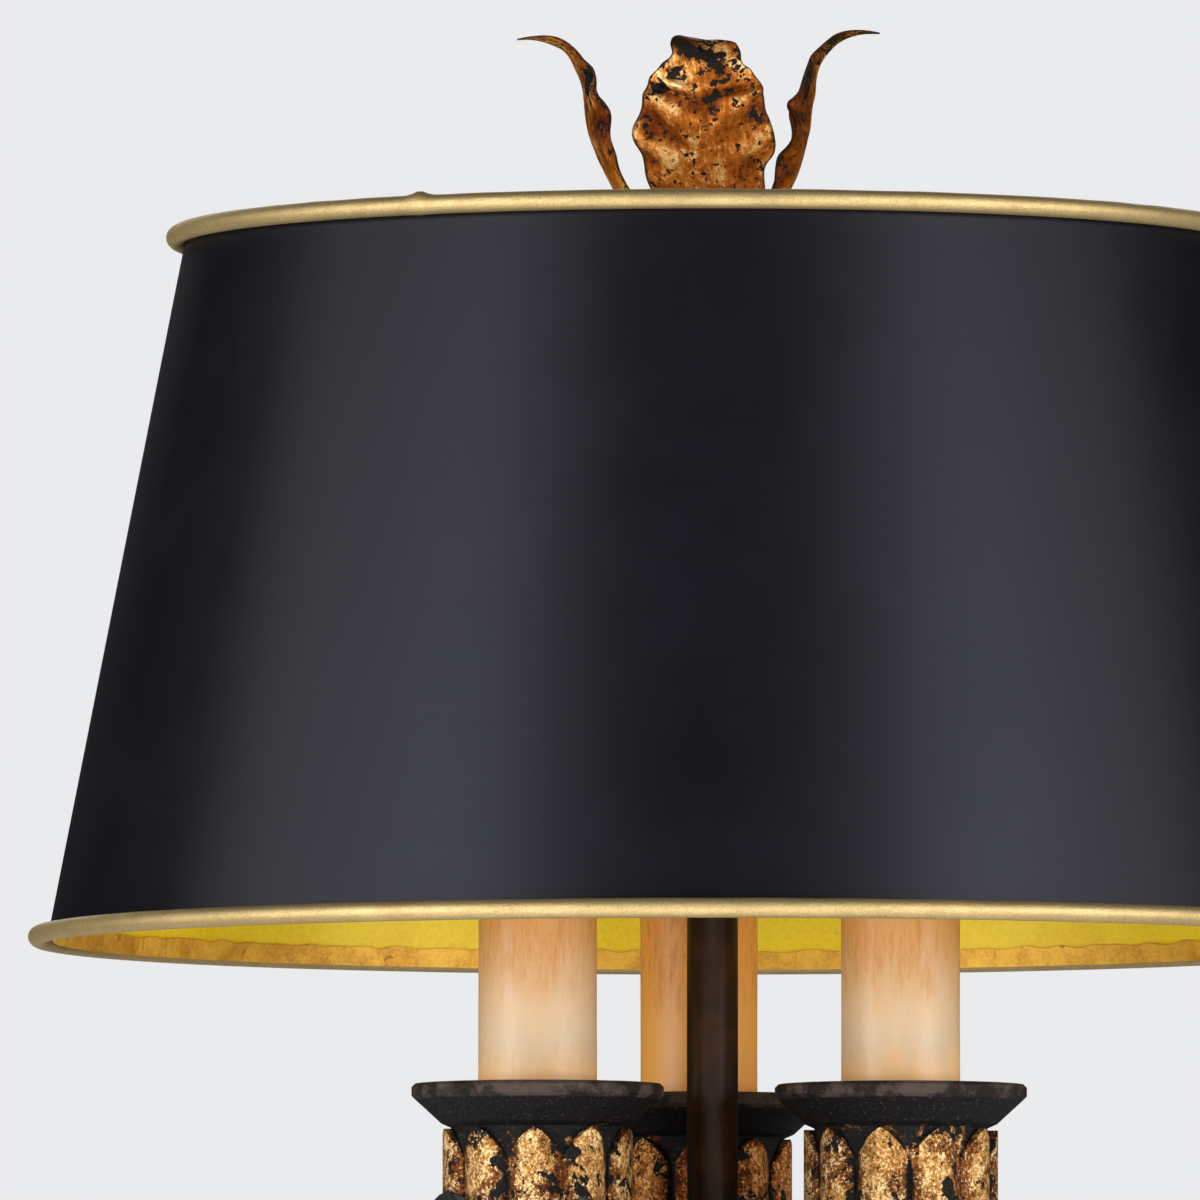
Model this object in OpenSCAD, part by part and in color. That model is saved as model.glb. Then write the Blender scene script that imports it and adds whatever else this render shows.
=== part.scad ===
// Wall light with three candle cups in a leaf bowl, under one round shade, on a swan-neck arm.
// Millimetres. The wall is the plane Y = 0, the light stands out along -Y, and +Z is up.
// The origin is the middle of the wall strap's two screw slots.

/* [Shade] */
// Outside diameter over the bottom bead
shade_bottom_d = 254; // [235:1:280]
// Outside diameter over the top bead
shade_top_d = 203; // [180:1:225]
// Height between the middles of the two beads
shade_h = 130; // [120:1:150]
// Thickness of the shade's card
shade_card = 0.8; // [0.6:0.1:1.5]
// Thickness of the foil lining
lining_t = 0.3; // [0.2:0.1:0.6]
// Diameter of the round bead along both edges
bead_d = 3.6; // [3:0.1:4.5]
// Width of the tape turned in along both edges
hem_w = 4.2; // [3:0.1:8]
// Thickness of the turned-in tape
hem_t = 0.3; // [0.2:0.05:0.5]
// Height of the bottom bead above the cup rims
shade_gap = 28; // [20:1:40]

/* [Spider] */
// How far the spider's hub sits below the top bead
spider_drop = 10; // [6:0.5:16]
// Diameter of the three arm wires
spider_wire_d = 2.4; // [2:0.1:3]
// Diameter of the hub disc
spider_hub_d = 24; // [20:1:30]
// Thickness of the hub disc
spider_hub_t = 1.6; // [1.2:0.1:2.5]
// Bearing of the first arm, from straight ahead
spider_turn = -36; // [-60:1:60]

/* [Finial] */
// Height of the leaf tips above the top bead
finial_rise = 37; // [30:1:44]
// Distance across two opposite leaf tips
finial_spread = 69; // [60:1:80]
// Width of one leaf, measured round its curve
finial_leaf_w = 27; // [22:1:28]
// How far the leaves lean to the right (minus: to the left)
finial_lean = -2.2; // [-3:0.1:3]
// Thickness of the leaves
finial_leaf_t = 0.9; // [0.7:0.1:1.4]
// Diameter of the turned seat that the leaves grow from
finial_seat_d = 13; // [12:0.5:16]
// Height of the turned seat
finial_seat_h = 11; // [9:0.5:14]
// Diameter of the threaded stud under the finial
stud_d = 6.35; // [5:0.05:7]

/* [Candles] */
// Diameter of the circle that the three candles stand on
candle_circle_d = 77.6; // [74:0.2:80]
// Outside diameter of a candle sleeve
sleeve_d = 22; // [20:0.5:24]
// Wall of a candle sleeve
sleeve_wall = 0.7; // [0.5:0.1:1.2]
// Height of a sleeve above its cup rim
sleeve_show = 53; // [48:1:60]
// Height of a lamp socket
socket_h = 36; // [32:1:40]
// Diameter of a lamp's screw cap
lamp_cap_d = 11.9; // [10:0.1:13]
// Height of a lamp's screw cap
lamp_cap_h = 20; // [16:1:24]
// Widest diameter of a lamp's glass
lamp_d = 35; // [28:1:38]
// Height of a lamp's glass
lamp_h = 74; // [60:1:80]
// Diameter of the threaded tube under a socket
nipple_d = 10; // [9:0.5:11]

/* [Cups] */
// Diameter over a cup's rim
cup_rim_d = 46.6; // [42:0.2:48]
// Height of the rim's upright edge
cup_lip = 2.8; // [2:0.1:4]
// Height of the cone under the rim
cup_flare_h = 4.5; // [4:0.1:7]
// Diameter over the reeds of a cup's body
cup_body_d = 36; // [33:0.5:38]
// Whole height of a cup
cup_h = 46; // [42:1:52]
// Diameter of a cup's foot
cup_foot_d = 22; // [18:1:24]
// Reeds round a cup
reed_count = 10; // [9:1:14]
// How far the reeds stand out
reed_relief = 2; // [1.4:0.1:2.4]
// Gap between two reeds, at their foot
reed_gap = 1.2; // [0.8:0.1:1.8]

/* [Column] */
// Diameter of the rod that carries the shade
rod_d = 9.5; // [8.5:0.1:11]
// Wall of the rod
rod_wall = 1.5; // [1:0.1:1.8]
// Thickness of the plate that the cups stand on
deck_t = 2.5; // [2:0.1:4]
// Height of the spacer under that plate
spacer_h = 15; // [13:0.5:18]
// Diameter of the ball of the hub under the bowl
hub_ball_d = 30; // [26:1:36]
// Diameter of the hub's top flange
hub_flange_d = 40; // [36:1:44]
// Height of the hub
hub_h = 32; // [30:1:38]

/* [Bowl] */
// Diameter over the bowl's edge
bowl_d = 116; // [115:1:122]
// Height of the bowl
bowl_h = 20; // [18:1:24]
// Thickness of the bowl's sheet
bowl_t = 1.2; // [1:0.1:2]
// Leaves round the bowl
bowl_leaf_count = 12; // [10:1:14]
// Distance of the leaf tips from the column's middle
bowl_leaf_reach = 60.5; // [60:0.5:68]
// Height of the leaf tips above the bowl's underside
bowl_leaf_rise = 42.5; // [36:0.5:46]
// Width of one bowl leaf
bowl_leaf_w = 24; // [18:1:26]
// Thickness of the bowl leaves
bowl_leaf_t = 1.1; // [0.8:0.1:1.6]
// Bearing of the first bowl leaf, from straight ahead
bowl_leaf_turn = 3; // [-15:1:15]

/* [Arm] */
// Distance from the wall to the column's middle
projection = 155; // [150:1:190]
// Outside diameter of the arm's tube
arm_d = 12.7; // [11:0.1:14]
// Wall of the arm's tube
arm_wall = 1.2; // [1:0.1:2]
// Bend radius of the arm's first curve
arm_neck_r = 30; // [24:1:34]
// Length of the straight run between the arm's two curves
arm_drop = 12; // [5:1:20]
// Length of the arm's upright end below the hub
arm_rise = 68; // [60:1:80]
// Length of the collar where the arm leaves the back plate
collar_h = 12; // [10:1:18]
// Diameter of the gilt knop on the arm's upright end
knop_d = 24; // [20:1:28]

/* [Back plate] */
// Width of the back plate
plate_w = 110; // [100:1:130]
// Height of the back plate
plate_h = 200; // [190:1:230]
// Depth of the back plate
plate_depth = 16; // [15:0.5:22]
// Thickness of the back plate's sheet
plate_t = 1.6; // [1.2:0.1:2.2]
// Distance between the two studs of the cap nuts
cap_nut_spacing = 140; // [130:1:150]
// Diameter of a cap nut
cap_nut_d = 12; // [10:0.5:14]
// Distance between the two screw slots of the wall strap
slot_spacing = 70; // [66:0.5:80]
// Width of a screw slot
slot_w = 4.5; // [4:0.1:5.5]
// Whole length of a screw slot
slot_l = 12; // [9:0.5:14]
// Width of the wall strap
strap_w = 20; // [18:1:24]
// Thickness of the wall strap
strap_t = 2.5; // [2:0.1:3]

/* [Hidden] */
$fn = 64;
// Radial clearance of fixed fits, of turning fits, and of a loose slip-over fit
fit_gap = 0.05;
run_gap = 0.1;
slip_gap = 0.2;
// Gap of glued or wrapped layers
layer_gap = 0.05;
// Gap that a resting face keeps from a curved one
seat_gap = 0.15;
// Length by which a cutting tool runs past the face that it cuts
past = 1;

candle_bearings = [-60, 60, 180];
cup_turns = [18.5, -4.5, -3.5];
leaf_names = ["front", "right", "back", "left"];
spider_arms = 3;

// Shade outline: distance along the slope from the bottom bead, and depth inwards from the bead line
bead_r = bead_d / 2;
shade_foot = [shade_bottom_d / 2 - bead_r, 0];
shade_head = [shade_top_d / 2 - bead_r, shade_h];
slope_l = norm(shade_head - shade_foot);
slope_along = (shade_head - shade_foot) / slope_l;
slope_in = [-slope_along[1], slope_along[0]];
card_out = bead_r + layer_gap;
card_in = card_out + shade_card;
lining_out = card_in + layer_gap;
lining_in = lining_out + lining_t;
hem_out = lining_in + layer_gap;
hem_in = hem_out + hem_t;
function slope_point(along, depth) = shade_foot + along * slope_along + depth * slope_in;

// Arm outline in its own upright plane: X is out from the wall and Y is up
arm_r = arm_d / 2;
arm_bore_r = arm_r - arm_wall;
arm_start = plate_depth + collar_h;
neck_end = arm_start + arm_neck_r;
arm_bend_r = (projection - neck_end) / 2;
bend_z = -arm_neck_r - arm_drop;
arm_inside = 9;
arm_socket = 14;

// Levels along the column
hub_z = bend_z + arm_rise;
hub_floor = 5;
bowl_z = hub_z + hub_h;
deck_z = bowl_z + bowl_t + spacer_h;
cup_z = deck_z + deck_t;
rim_z = cup_z + cup_h;
shade_z = rim_z + shade_gap;
top_z = shade_z + shade_h;
spider_z = top_z - spider_drop;
seat_t = 1.5;
rod_foot_z = hub_z + arm_socket + hub_floor;
rod_top_z = spider_z - seat_t;
finial_z = spider_z + spider_hub_t;

// Candle fittings
candle_r = candle_circle_d / 2;
cup_floor = 6;
sleeve_foot_z = cup_z + cup_floor;
sleeve_top_z = rim_z + sleeve_show;
socket_inset = 1;
socket_top_z = sleeve_top_z - socket_inset;
socket_z = socket_top_z - socket_h;
socket_d = sleeve_d - 2 * sleeve_wall - 2 * slip_gap;
nipple_grip = 8;
nipple_below = 6;
nipple_nut_h = 4;
lamp_z = socket_top_z - lamp_cap_h + 0.5;
lamp_tip_h = 1.5;
glass_z = lamp_z + lamp_cap_h;

// Bowl outline: an arc that leaves the flat floor at floor_r and ends at the bowl's edge
bowl_floor_r = hub_flange_d / 2 + 2;
bowl_run = bowl_d / 2 - bowl_floor_r;
bowl_arc_r = (bowl_run * bowl_run + bowl_h * bowl_h) / (2 * bowl_h);
bowl_arc_a = asin(bowl_run / bowl_arc_r);
deck_r = candle_r + cup_foot_d / 2 + 1.5;
function bowl_point(a, r) = [bowl_floor_r + r * sin(a), bowl_arc_r - r * cos(a)];

// Back plate outline, out from its middle line
plate_r = plate_w / 2;
plate_straight = plate_h - plate_w;
lip_w = 8;
lip_h = 6;
lip_round = 1.5;
cove_r = plate_depth - lip_h;
stud_r = 2;
stud_reach = 5;
plate_bead_d = 3.2;

// Places

module on_wall() rotate([90, 0, 0]) children();

module on_column() translate([0, -projection, 0]) children();

module at_bearing(a, r) translate([r * sin(a), -r * cos(a), 0]) rotate([0, 0, a]) children();

module at_candle(i) on_column() at_bearing(candle_bearings[i - 1], candle_r) children();

// Plain shapes

module ring(r_out, r_in, h) difference() {
    cylinder(r = r_out, h = h);
    translate([0, 0, -past]) cylinder(r = r_in, h = h + 2 * past);
}

module hex_nut(across, r_in, h) difference() {
    cylinder(d = across / cos(30), h = h, $fn = 6);
    translate([0, 0, -past]) cylinder(r = r_in, h = h + 2 * past);
}

// A leaf that wraps round the Z axis, ahead of it. path(u) gives the midrib's distance and height,
// half(u, t) the half width round the curve, and lift(u, t) the ripple of the blade.
// flat is the radius of the wrap as a share of the distance from the axis.
function bezier(p, t) =
    pow(1 - t, 3) * p[0] + 3 * pow(1 - t, 2) * t * p[1] + 3 * (1 - t) * t * t * p[2] + t * t * t * p[3];

function two_curves(a, b, u) = u < 0.5 ? bezier(a, 2 * u) : bezier(b, 2 * u - 1);

function leaf_point(path, half, lift, flat, thick, u, t, side) =
    let (step = 0.01,
         mid = path(u),
         run = path(min(1, u + step)) - path(max(0, u - step)),
         out = [run[1], -run[0]] / norm(run) * (lift(u, t) + side * thick / 2),
         wrap_r = flat * mid[0],
         a = t * half(u, t) / wrap_r * 180 / PI,
         r = wrap_r + out[0])
    [r * sin(a), wrap_r - mid[0] - r * cos(a), mid[1] + out[1]];

module leaf(path, half, lift, flat, thick, rows, columns) {
    ring_n = 2 * (columns + 1);
    points = [for (i = [0:rows], j = [0:ring_n - 1])
        let (outer = j <= columns,
             k = outer ? j : ring_n - 1 - j)
        leaf_point(path, half, lift, flat, thick, i / rows, 2 * k / columns - 1, outer ? 1 : -1)];
    sides = [for (i = [0:rows - 1], j = [0:ring_n - 1], half_quad = [0, 1])
        let (a = i * ring_n + j,
             b = i * ring_n + (j + 1) % ring_n)
        half_quad == 0 ? [a, b, b + ring_n] : [a, b + ring_n, a + ring_n]];
    ends = [for (i = [0, rows], j = [0:columns - 1], half_quad = [0, 1])
        let (a = i * ring_n + j,
             b = i * ring_n + ring_n - 1 - j,
             face = half_quad == 0 ? [a, b, b - 1] : [a, b - 1, a + 1])
        i == 0 ? face : [face[0], face[2], face[1]]];
    polyhedron(points, concat(sides, ends));
}

// Back plate and wall fixings

module slot_hole(h) {
    reach = (slot_l - slot_w) / 2;
    for (s = [-1, 1]) translate([0, s * reach, 0]) cylinder(d = slot_w, h = h);
    translate([-slot_w / 2, -reach, 0]) cube([slot_w, 2 * reach, h]);
}

ground_screw_y = -20;
ground_screw_r = 2;
strap_end = 10;

module wall_strap() color("silver") on_wall() difference() {
    strap_l = cap_nut_spacing + 2 * strap_end;
    translate([-strap_w / 2, -strap_l / 2, 0]) cube([strap_w, strap_l, strap_t]);
    for (s = [-1, 1]) {
        translate([0, s * slot_spacing / 2, -past]) slot_hole(strap_t + 2 * past);
        translate([0, s * cap_nut_spacing / 2, -past]) cylinder(r = stud_r + fit_gap, h = strap_t + 2 * past);
    }
    translate([0, ground_screw_y, -past]) cylinder(r = ground_screw_r + fit_gap, h = strap_t + 2 * past);
    translate([0, 0, -past]) cylinder(r = arm_bore_r, h = strap_t + 2 * past);
}

stud_nut_across = 7;
stud_nut_h = 3.2;

module strap_studs() color("silver") on_wall()
    for (s = [-1, 1]) translate([0, s * cap_nut_spacing / 2, 0])
        cylinder(r = stud_r, h = plate_depth + stud_reach);

module stud_nuts() color("silver") on_wall()
    for (s = [-1, 1]) translate([0, s * cap_nut_spacing / 2, strap_t])
        hex_nut(stud_nut_across, stud_r + fit_gap, stud_nut_h);

ground_head_r = 4;
ground_head_h = 2.6;
ground_slot_w = 1;
ground_slot_deep = 1;

module ground_screw() color("seagreen") on_wall() translate([0, ground_screw_y, 0]) {
    cylinder(r = ground_screw_r, h = strap_t);
    translate([0, 0, strap_t]) difference() {
        cylinder(r = ground_head_r, h = ground_head_h);
        translate([-ground_head_r - past, -ground_slot_w / 2, ground_head_h - ground_slot_deep])
            cube([2 * (ground_head_r + past), ground_slot_w, ground_slot_deep + past]);
    }
}

block_ways = 3;
block_pitch = 8;
block_y = 14;
block_depth = 11;
block_h = 8;
block_end = 1;
block_wire_d = 3.4;
block_screw_d = 4;

module terminal_block() color("ivory") on_wall() translate([0, block_y, strap_t]) difference() {
    block_l = block_ways * block_pitch + 2 * block_end;
    translate([-block_l / 2, 0, 0]) cube([block_l, block_depth, block_h]);
    for (k = [0:block_ways - 1]) translate([(k - (block_ways - 1) / 2) * block_pitch, 0, 0]) {
        translate([0, -past, block_h / 2]) rotate([-90, 0, 0])
            cylinder(d = block_wire_d, h = block_depth + 2 * past);
        translate([0, block_depth / 2, block_h / 2]) cylinder(d = block_screw_d, h = block_h);
    }
}

cove_steps = 8;
cove_centre = [plate_r - lip_w, plate_depth];
function cove(r, a_end) = [for (k = [0:cove_steps])
    let (a = k / cove_steps * a_end) cove_centre - r * [sin(a), cos(a)]];

module plate_outline() polygon(concat(
    [[0, 0], [plate_r, 0], [plate_r, lip_h - lip_round], [plate_r - lip_round, lip_h]],
    cove(cove_r, 90),
    [[0, plate_depth]]));

module plate_hollow_outline() polygon(concat(
    [[0, -past], [plate_r - plate_t, -past], [plate_r - plate_t, lip_h - plate_t - lip_round]],
    cove(cove_r + plate_t, acos(plate_t / (cove_r + plate_t))),
    [[0, plate_depth - plate_t]]));

module long_round(straight) {
    for (s = [0, 1]) rotate([0, 0, s * 180]) translate([0, straight / 2, 0])
        rotate_extrude(angle = 180) children();
    for (s = [0, 1]) rotate([0, 0, s * 180]) rotate([90, 0, 0])
        linear_extrude(straight, center = true) children();
}

module back_plate() color("#1c1b1d") on_wall() difference() {
    long_round(plate_straight) plate_outline();
    long_round(plate_straight) plate_hollow_outline();
    cylinder(r = arm_r + fit_gap, h = plate_depth + past);
    for (s = [-1, 1]) translate([0, s * cap_nut_spacing / 2, 0])
        cylinder(r = stud_r + slip_gap, h = plate_depth + past);
}

module plate_bead() color("#b08a3e") on_wall() translate([0, 0, lip_h])
    long_round(plate_straight) translate([plate_r - lip_w / 2 - lip_round / 2, 0]) difference() {
        circle(d = plate_bead_d);
        translate([-plate_bead_d, -2 * plate_bead_d]) square(2 * plate_bead_d);
    }

cap_nut_neck = 2;
cap_nut_neck_r = cap_nut_d * 0.4;
cap_nut_ball_z = cap_nut_neck + cap_nut_d * 0.425;
stud_end_gap = 0.5;

module cap_nut(s) color("#b08a3e") on_wall()
    translate([0, s * cap_nut_spacing / 2, plate_depth]) difference() {
        union() {
            cylinder(r = cap_nut_neck_r, h = cap_nut_neck);
            translate([0, 0, cap_nut_ball_z]) sphere(d = cap_nut_d);
        }
        translate([0, 0, -past]) cylinder(r = stud_r + run_gap, h = stud_reach + past + stud_end_gap);
        translate([-cap_nut_d, -cap_nut_d, -2 * cap_nut_d]) cube(2 * cap_nut_d);
    }

// Arm

module in_arm_plane() rotate([90, 0, -90]) children();

module tube_outline() difference() {
    circle(arm_r);
    circle(arm_bore_r);
}

module tube_length(l) rotate([0, 90, 0]) linear_extrude(l) tube_outline();

module tube_bend(r, a) rotate_extrude(angle = a) translate([r, 0]) tube_outline();

module arm_tube() color("#1c1b1d") in_arm_plane() {
    translate([plate_depth - arm_inside, 0, 0]) tube_length(collar_h + arm_inside);
    translate([arm_start, -arm_neck_r, 0]) tube_bend(arm_neck_r, 90);
    translate([neck_end, -arm_neck_r, 0]) rotate([0, 0, -90]) tube_length(arm_drop);
    translate([neck_end + arm_bend_r, bend_z, 0]) rotate([0, 0, 180]) tube_bend(arm_bend_r, 180);
    translate([projection, bend_z, 0]) rotate([0, 0, 90]) tube_length(arm_rise + arm_socket);
}

collar_foot_r = arm_r + 9;
collar_low_r = arm_r + 7;
collar_high_r = arm_r + 2.5;
collar_head_r = arm_r + 3.5;
collar_ring_h = 2.5;

module arm_collar() color("#b08a3e") on_wall() translate([0, 0, plate_depth]) difference() {
    union() {
        cylinder(r = collar_foot_r, h = collar_ring_h);
        translate([0, 0, collar_ring_h])
            cylinder(r1 = collar_low_r, r2 = collar_high_r, h = collar_h - 2 * collar_ring_h);
        translate([0, 0, collar_h - collar_ring_h]) cylinder(r = collar_head_r, h = collar_ring_h);
    }
    translate([0, 0, -past]) cylinder(r = arm_r + fit_gap, h = collar_h + 2 * past);
}

lock_nut_h = 5;
lock_nut_wall = 3.5;

module arm_lock_nut() color("silver") on_wall() translate([0, 0, plate_depth - plate_t - lock_nut_h])
    hex_nut(arm_d + 2 * lock_nut_wall, arm_r + fit_gap, lock_nut_h);

bushing_flange_t = 1.5;
bushing_edge = 0.8;
bushing_plug = 5;
bushing_wall = 1.2;
wire_way_r = arm_bore_r - bushing_wall;

module wire_bushing() color("white") on_wall()
    translate([0, 0, plate_depth - arm_inside - bushing_flange_t]) difference() {
        union() {
            cylinder(r = arm_r + bushing_edge, h = bushing_flange_t);
            cylinder(r = arm_bore_r - fit_gap, h = bushing_flange_t + bushing_plug);
        }
        translate([0, 0, -past]) cylinder(r = wire_way_r, h = bushing_flange_t + bushing_plug + 2 * past);
    }

knop_h = 14;
knop_round = knop_h * 0.3;
knop_wall = 2;

module stem_knop() color("#b08a3e") on_column() translate([0, 0, hub_z - arm_rise / 2 - knop_h / 2])
    rotate_extrude() difference() {
        union() {
            translate([knop_d / 2 - knop_round, knop_h / 2]) circle(knop_round);
            translate([0, knop_h / 2 - knop_round]) square([knop_d / 2 - knop_round, 2 * knop_round]);
            square([arm_r + knop_wall, knop_h]);
        }
        translate([-past, -past]) square([arm_r + fit_gap + past, knop_h + 2 * past]);
    }

// Hub, bowl and deck

hub_collar_r = arm_r + 4;
hub_collar_h = 5;
hub_flange_t = 3;

module hub() color("#1c1b1d") on_column() translate([0, 0, hub_z]) difference() {
    union() {
        cylinder(r = hub_collar_r, h = hub_h);
        translate([0, 0, hub_h / 2]) sphere(d = hub_ball_d);
        translate([0, 0, hub_h - hub_flange_t]) cylinder(d = hub_flange_d, h = hub_flange_t);
    }
    translate([0, 0, -hub_ball_d]) cylinder(d = 2 * hub_ball_d, h = hub_ball_d);
    translate([0, 0, hub_h]) cylinder(d = 2 * hub_ball_d, h = hub_ball_d);
    translate([0, 0, -past]) cylinder(r = arm_r + fit_gap, h = arm_socket + past);
    cylinder(r = wire_way_r, h = hub_h);
    translate([0, 0, arm_socket + hub_floor]) cylinder(r = rod_d / 2 + fit_gap, h = hub_h);
}

bowl_steps = 10;

module bowl() color("#1c1b1d") on_column() translate([0, 0, bowl_z]) rotate_extrude() polygon(concat(
    [[rod_d / 2 + fit_gap, 0]],
    [for (k = [0:bowl_steps]) bowl_point(k / bowl_steps * bowl_arc_a, bowl_arc_r)],
    [for (k = [bowl_steps:-1:0]) bowl_point(k / bowl_steps * bowl_arc_a, bowl_arc_r - bowl_t)],
    [[rod_d / 2 + fit_gap, bowl_t]]));

bowl_leaf_rows = 12;
bowl_leaf_columns = 4;

// Midrib of a bowl leaf: up the outside of the bowl, then away from its edge to the tip
leaf_root_a = bowl_arc_a * 0.45;
leaf_skin_r = bowl_arc_r + seat_gap + bowl_leaf_t / 2;
leaf_edge = bowl_point(bowl_arc_a, leaf_skin_r);
leaf_tip = [bowl_leaf_reach, bowl_leaf_rise];
leaf_flight = [
    leaf_edge,
    leaf_edge + (bowl_leaf_rise - bowl_h) / 3 * [cos(bowl_arc_a), sin(bowl_arc_a)],
    [(leaf_edge[0] + 2 * bowl_leaf_reach) / 3, leaf_edge[1] + (bowl_leaf_rise - bowl_h) * 0.75],
    leaf_tip];

function bowl_leaf_path(u) = u < 0.5
    ? bowl_point(leaf_root_a + (bowl_arc_a - leaf_root_a) * 2 * u, leaf_skin_r)
    : bezier(leaf_flight, 2 * u - 1);

// Place along a bowl leaf where it is widest, and its width at the root as a share
leaf_wide_u = 0.45;
leaf_root_share = 0.55;

function bowl_leaf_half(u) = bowl_leaf_w / 2 * (u < leaf_wide_u
    ? leaf_root_share + u * (1 - leaf_root_share) / leaf_wide_u
    : sqrt(max(0.001, 1 - pow((u - leaf_wide_u) / (1 - leaf_wide_u), 2.4))));

module bowl_leaves() color("#232225") on_column() translate([0, 0, bowl_z])
    for (k = [0:bowl_leaf_count - 1]) rotate([0, 0, bowl_leaf_turn + k * 360 / bowl_leaf_count])
        leaf(function(u) bowl_leaf_path(u), function(u, t) bowl_leaf_half(u), function(u, t) 0, 1,
             bowl_leaf_t, bowl_leaf_rows, bowl_leaf_columns);

wire_hole_r = 2.5;
spacer_wall = 3.5;

module wire_hole() translate([0, 0, bowl_z + bowl_t + spacer_h / 2]) rotate([0, 90, 0])
    cylinder(r = wire_hole_r, h = rod_d * 4, center = true);

module deck_spacer() color("silver") on_column() difference() {
    translate([0, 0, bowl_z + bowl_t]) ring(rod_d / 2 + spacer_wall, rod_d / 2 + fit_gap, spacer_h);
    wire_hole();
}

module candle_deck() color("#1c1b1d") on_column() translate([0, 0, deck_z]) difference() {
    cylinder(r = deck_r, h = deck_t);
    translate([0, 0, -past]) cylinder(r = rod_d / 2 + fit_gap, h = deck_t + 2 * past);
    for (a = candle_bearings) at_bearing(a, candle_r) translate([0, 0, -past])
        cylinder(d = nipple_d + 2 * fit_gap, h = deck_t + 2 * past);
}

module rod_lock_nut() color("#1c1b1d") on_column() translate([0, 0, cup_z])
    hex_nut(rod_d + 2 * lock_nut_wall, rod_d / 2 + fit_gap, lock_nut_h);

module centre_rod() color("#201f20") on_column() difference() {
    translate([0, 0, rod_foot_z]) ring(rod_d / 2, rod_d / 2 - rod_wall, rod_top_z - rod_foot_z);
    wire_hole();
}

plug_l = 12;
finial_cap = 3;
stud_l = finial_seat_h - finial_cap;
finial_waist_h = 5;
seat_rim = 4;

module finial_stud() color("goldenrod") on_column() {
    translate([0, 0, rod_top_z - plug_l]) cylinder(r = rod_d / 2 - rod_wall - fit_gap, h = plug_l);
    translate([0, 0, rod_top_z]) cylinder(d = stud_d, h = seat_t + spider_hub_t + stud_l);
}

module spider_seat() color("goldenrod") on_column() translate([0, 0, rod_top_z])
    ring(rod_d / 2 + seat_rim, stud_d / 2 + fit_gap, seat_t);

// Candles

// A reed is a half-round rib on the cup's core, cut to a point at both ends
cup_core_r = cup_body_d / 2 - reed_relief;
cup_core_z = 16;
cup_flare_z = cup_h - cup_lip - cup_flare_h;
cup_neck_h = 0.8;
cup_neck_in = 0.2;
cup_edge = 0.6;
cup_dish_rim = 1.5;
cup_dish_h = 2;
cup_foot_h = 2.5;
cup_waist_h = 3.5;
cup_waist_in = 1;
// Swell between the waist and the reeds: share of the core's radius, and height
cup_swell = [[0.72, 5], [0.86, 9], [0.96, 12.5]];

reed_half_w = cup_core_r * sin(180 / reed_count) - reed_gap / 2;
reed_r = (reed_relief * reed_relief + reed_half_w * reed_half_w) / (2 * reed_relief);
reed_centre_r = cup_body_d / 2 - reed_r;
reed_root = 0.8;
reed_wedge = 2 * atan2(reed_half_w, reed_r - reed_relief) + 12;
reed_tip_h = 5;
reed_overlap = 0.5;
reed_drop = 1.1;
reed_low = cup_core_z - reed_overlap;
reed_high = cup_flare_z - reed_drop;
// Point of a reed: share of its half width, and share of the point's height down from the tip
reed_point = [[0, 0], [0.35, 0.19], [0.68, 0.48], [0.9, 0.77], [1.08, 1]];

module reed() intersection() {
    rotate([0, 0, -90 - reed_wedge / 2]) rotate_extrude(angle = reed_wedge)
        translate([reed_r - reed_relief - reed_root, reed_low])
            square([reed_relief + reed_root, reed_high + reed_overlap - reed_low]);
    rotate([90, 0, 0]) linear_extrude(2 * reed_r) polygon(concat(
        [for (p = reed_point) [p[0] * reed_half_w, reed_high - p[1] * reed_tip_h]],
        [for (k = [4:-1:0]) [reed_point[k][0] * reed_half_w, reed_low + reed_point[k][1] * reed_tip_h]],
        [for (k = [1:4]) [-reed_point[k][0] * reed_half_w, reed_low + reed_point[k][1] * reed_tip_h]],
        [for (k = [4:-1:1]) [-reed_point[k][0] * reed_half_w, reed_high - reed_point[k][1] * reed_tip_h]]));
}

module candle_cup(i) color("#242122") at_candle(i) rotate([0, 0, cup_turns[i - 1]]) translate([0, 0, cup_z]) {
    rim_r = cup_rim_d / 2;
    foot_r = cup_foot_d / 2;
    bore_r = sleeve_d / 2 + seat_gap;
    hole_r = nipple_d / 2 + fit_gap;
    rotate_extrude() polygon(concat(
        [[hole_r, 0], [foot_r, 0], [foot_r, cup_foot_h], [foot_r - cup_waist_in, cup_waist_h]],
        [for (p = cup_swell) [p[0] * cup_core_r, p[1]]],
        [[cup_core_r, cup_core_z], [cup_core_r, cup_flare_z - cup_neck_h]],
        [[cup_body_d / 2 - cup_neck_in, cup_flare_z], [rim_r - cup_edge, cup_h - cup_lip]],
        [[rim_r, cup_h - cup_lip + cup_edge], [rim_r, cup_h - cup_edge], [rim_r - cup_edge, cup_h]],
        [[rim_r - cup_dish_rim, cup_h], [bore_r + cup_dish_rim, cup_h - cup_dish_h]],
        [[bore_r, cup_h - cup_dish_h], [bore_r, cup_floor], [hole_r, cup_floor]]));
    for (k = [0:reed_count - 1]) at_bearing(k * 360 / reed_count, reed_centre_r) reed();
}

nipple_wall = 1.4;
nipple_nut_wall = 2;

module socket_nipple(i) color("silver") at_candle(i) translate([0, 0, deck_z - nipple_below])
    ring(nipple_d / 2, nipple_d / 2 - nipple_wall, socket_z + nipple_grip - deck_z + nipple_below - slip_gap);

module socket_nuts() color("silver") for (i = [1:3]) at_candle(i) translate([0, 0, deck_z - nipple_nut_h])
    hex_nut(nipple_d + 2 * nipple_nut_wall, nipple_d / 2 + fit_gap, nipple_nut_h);

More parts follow.
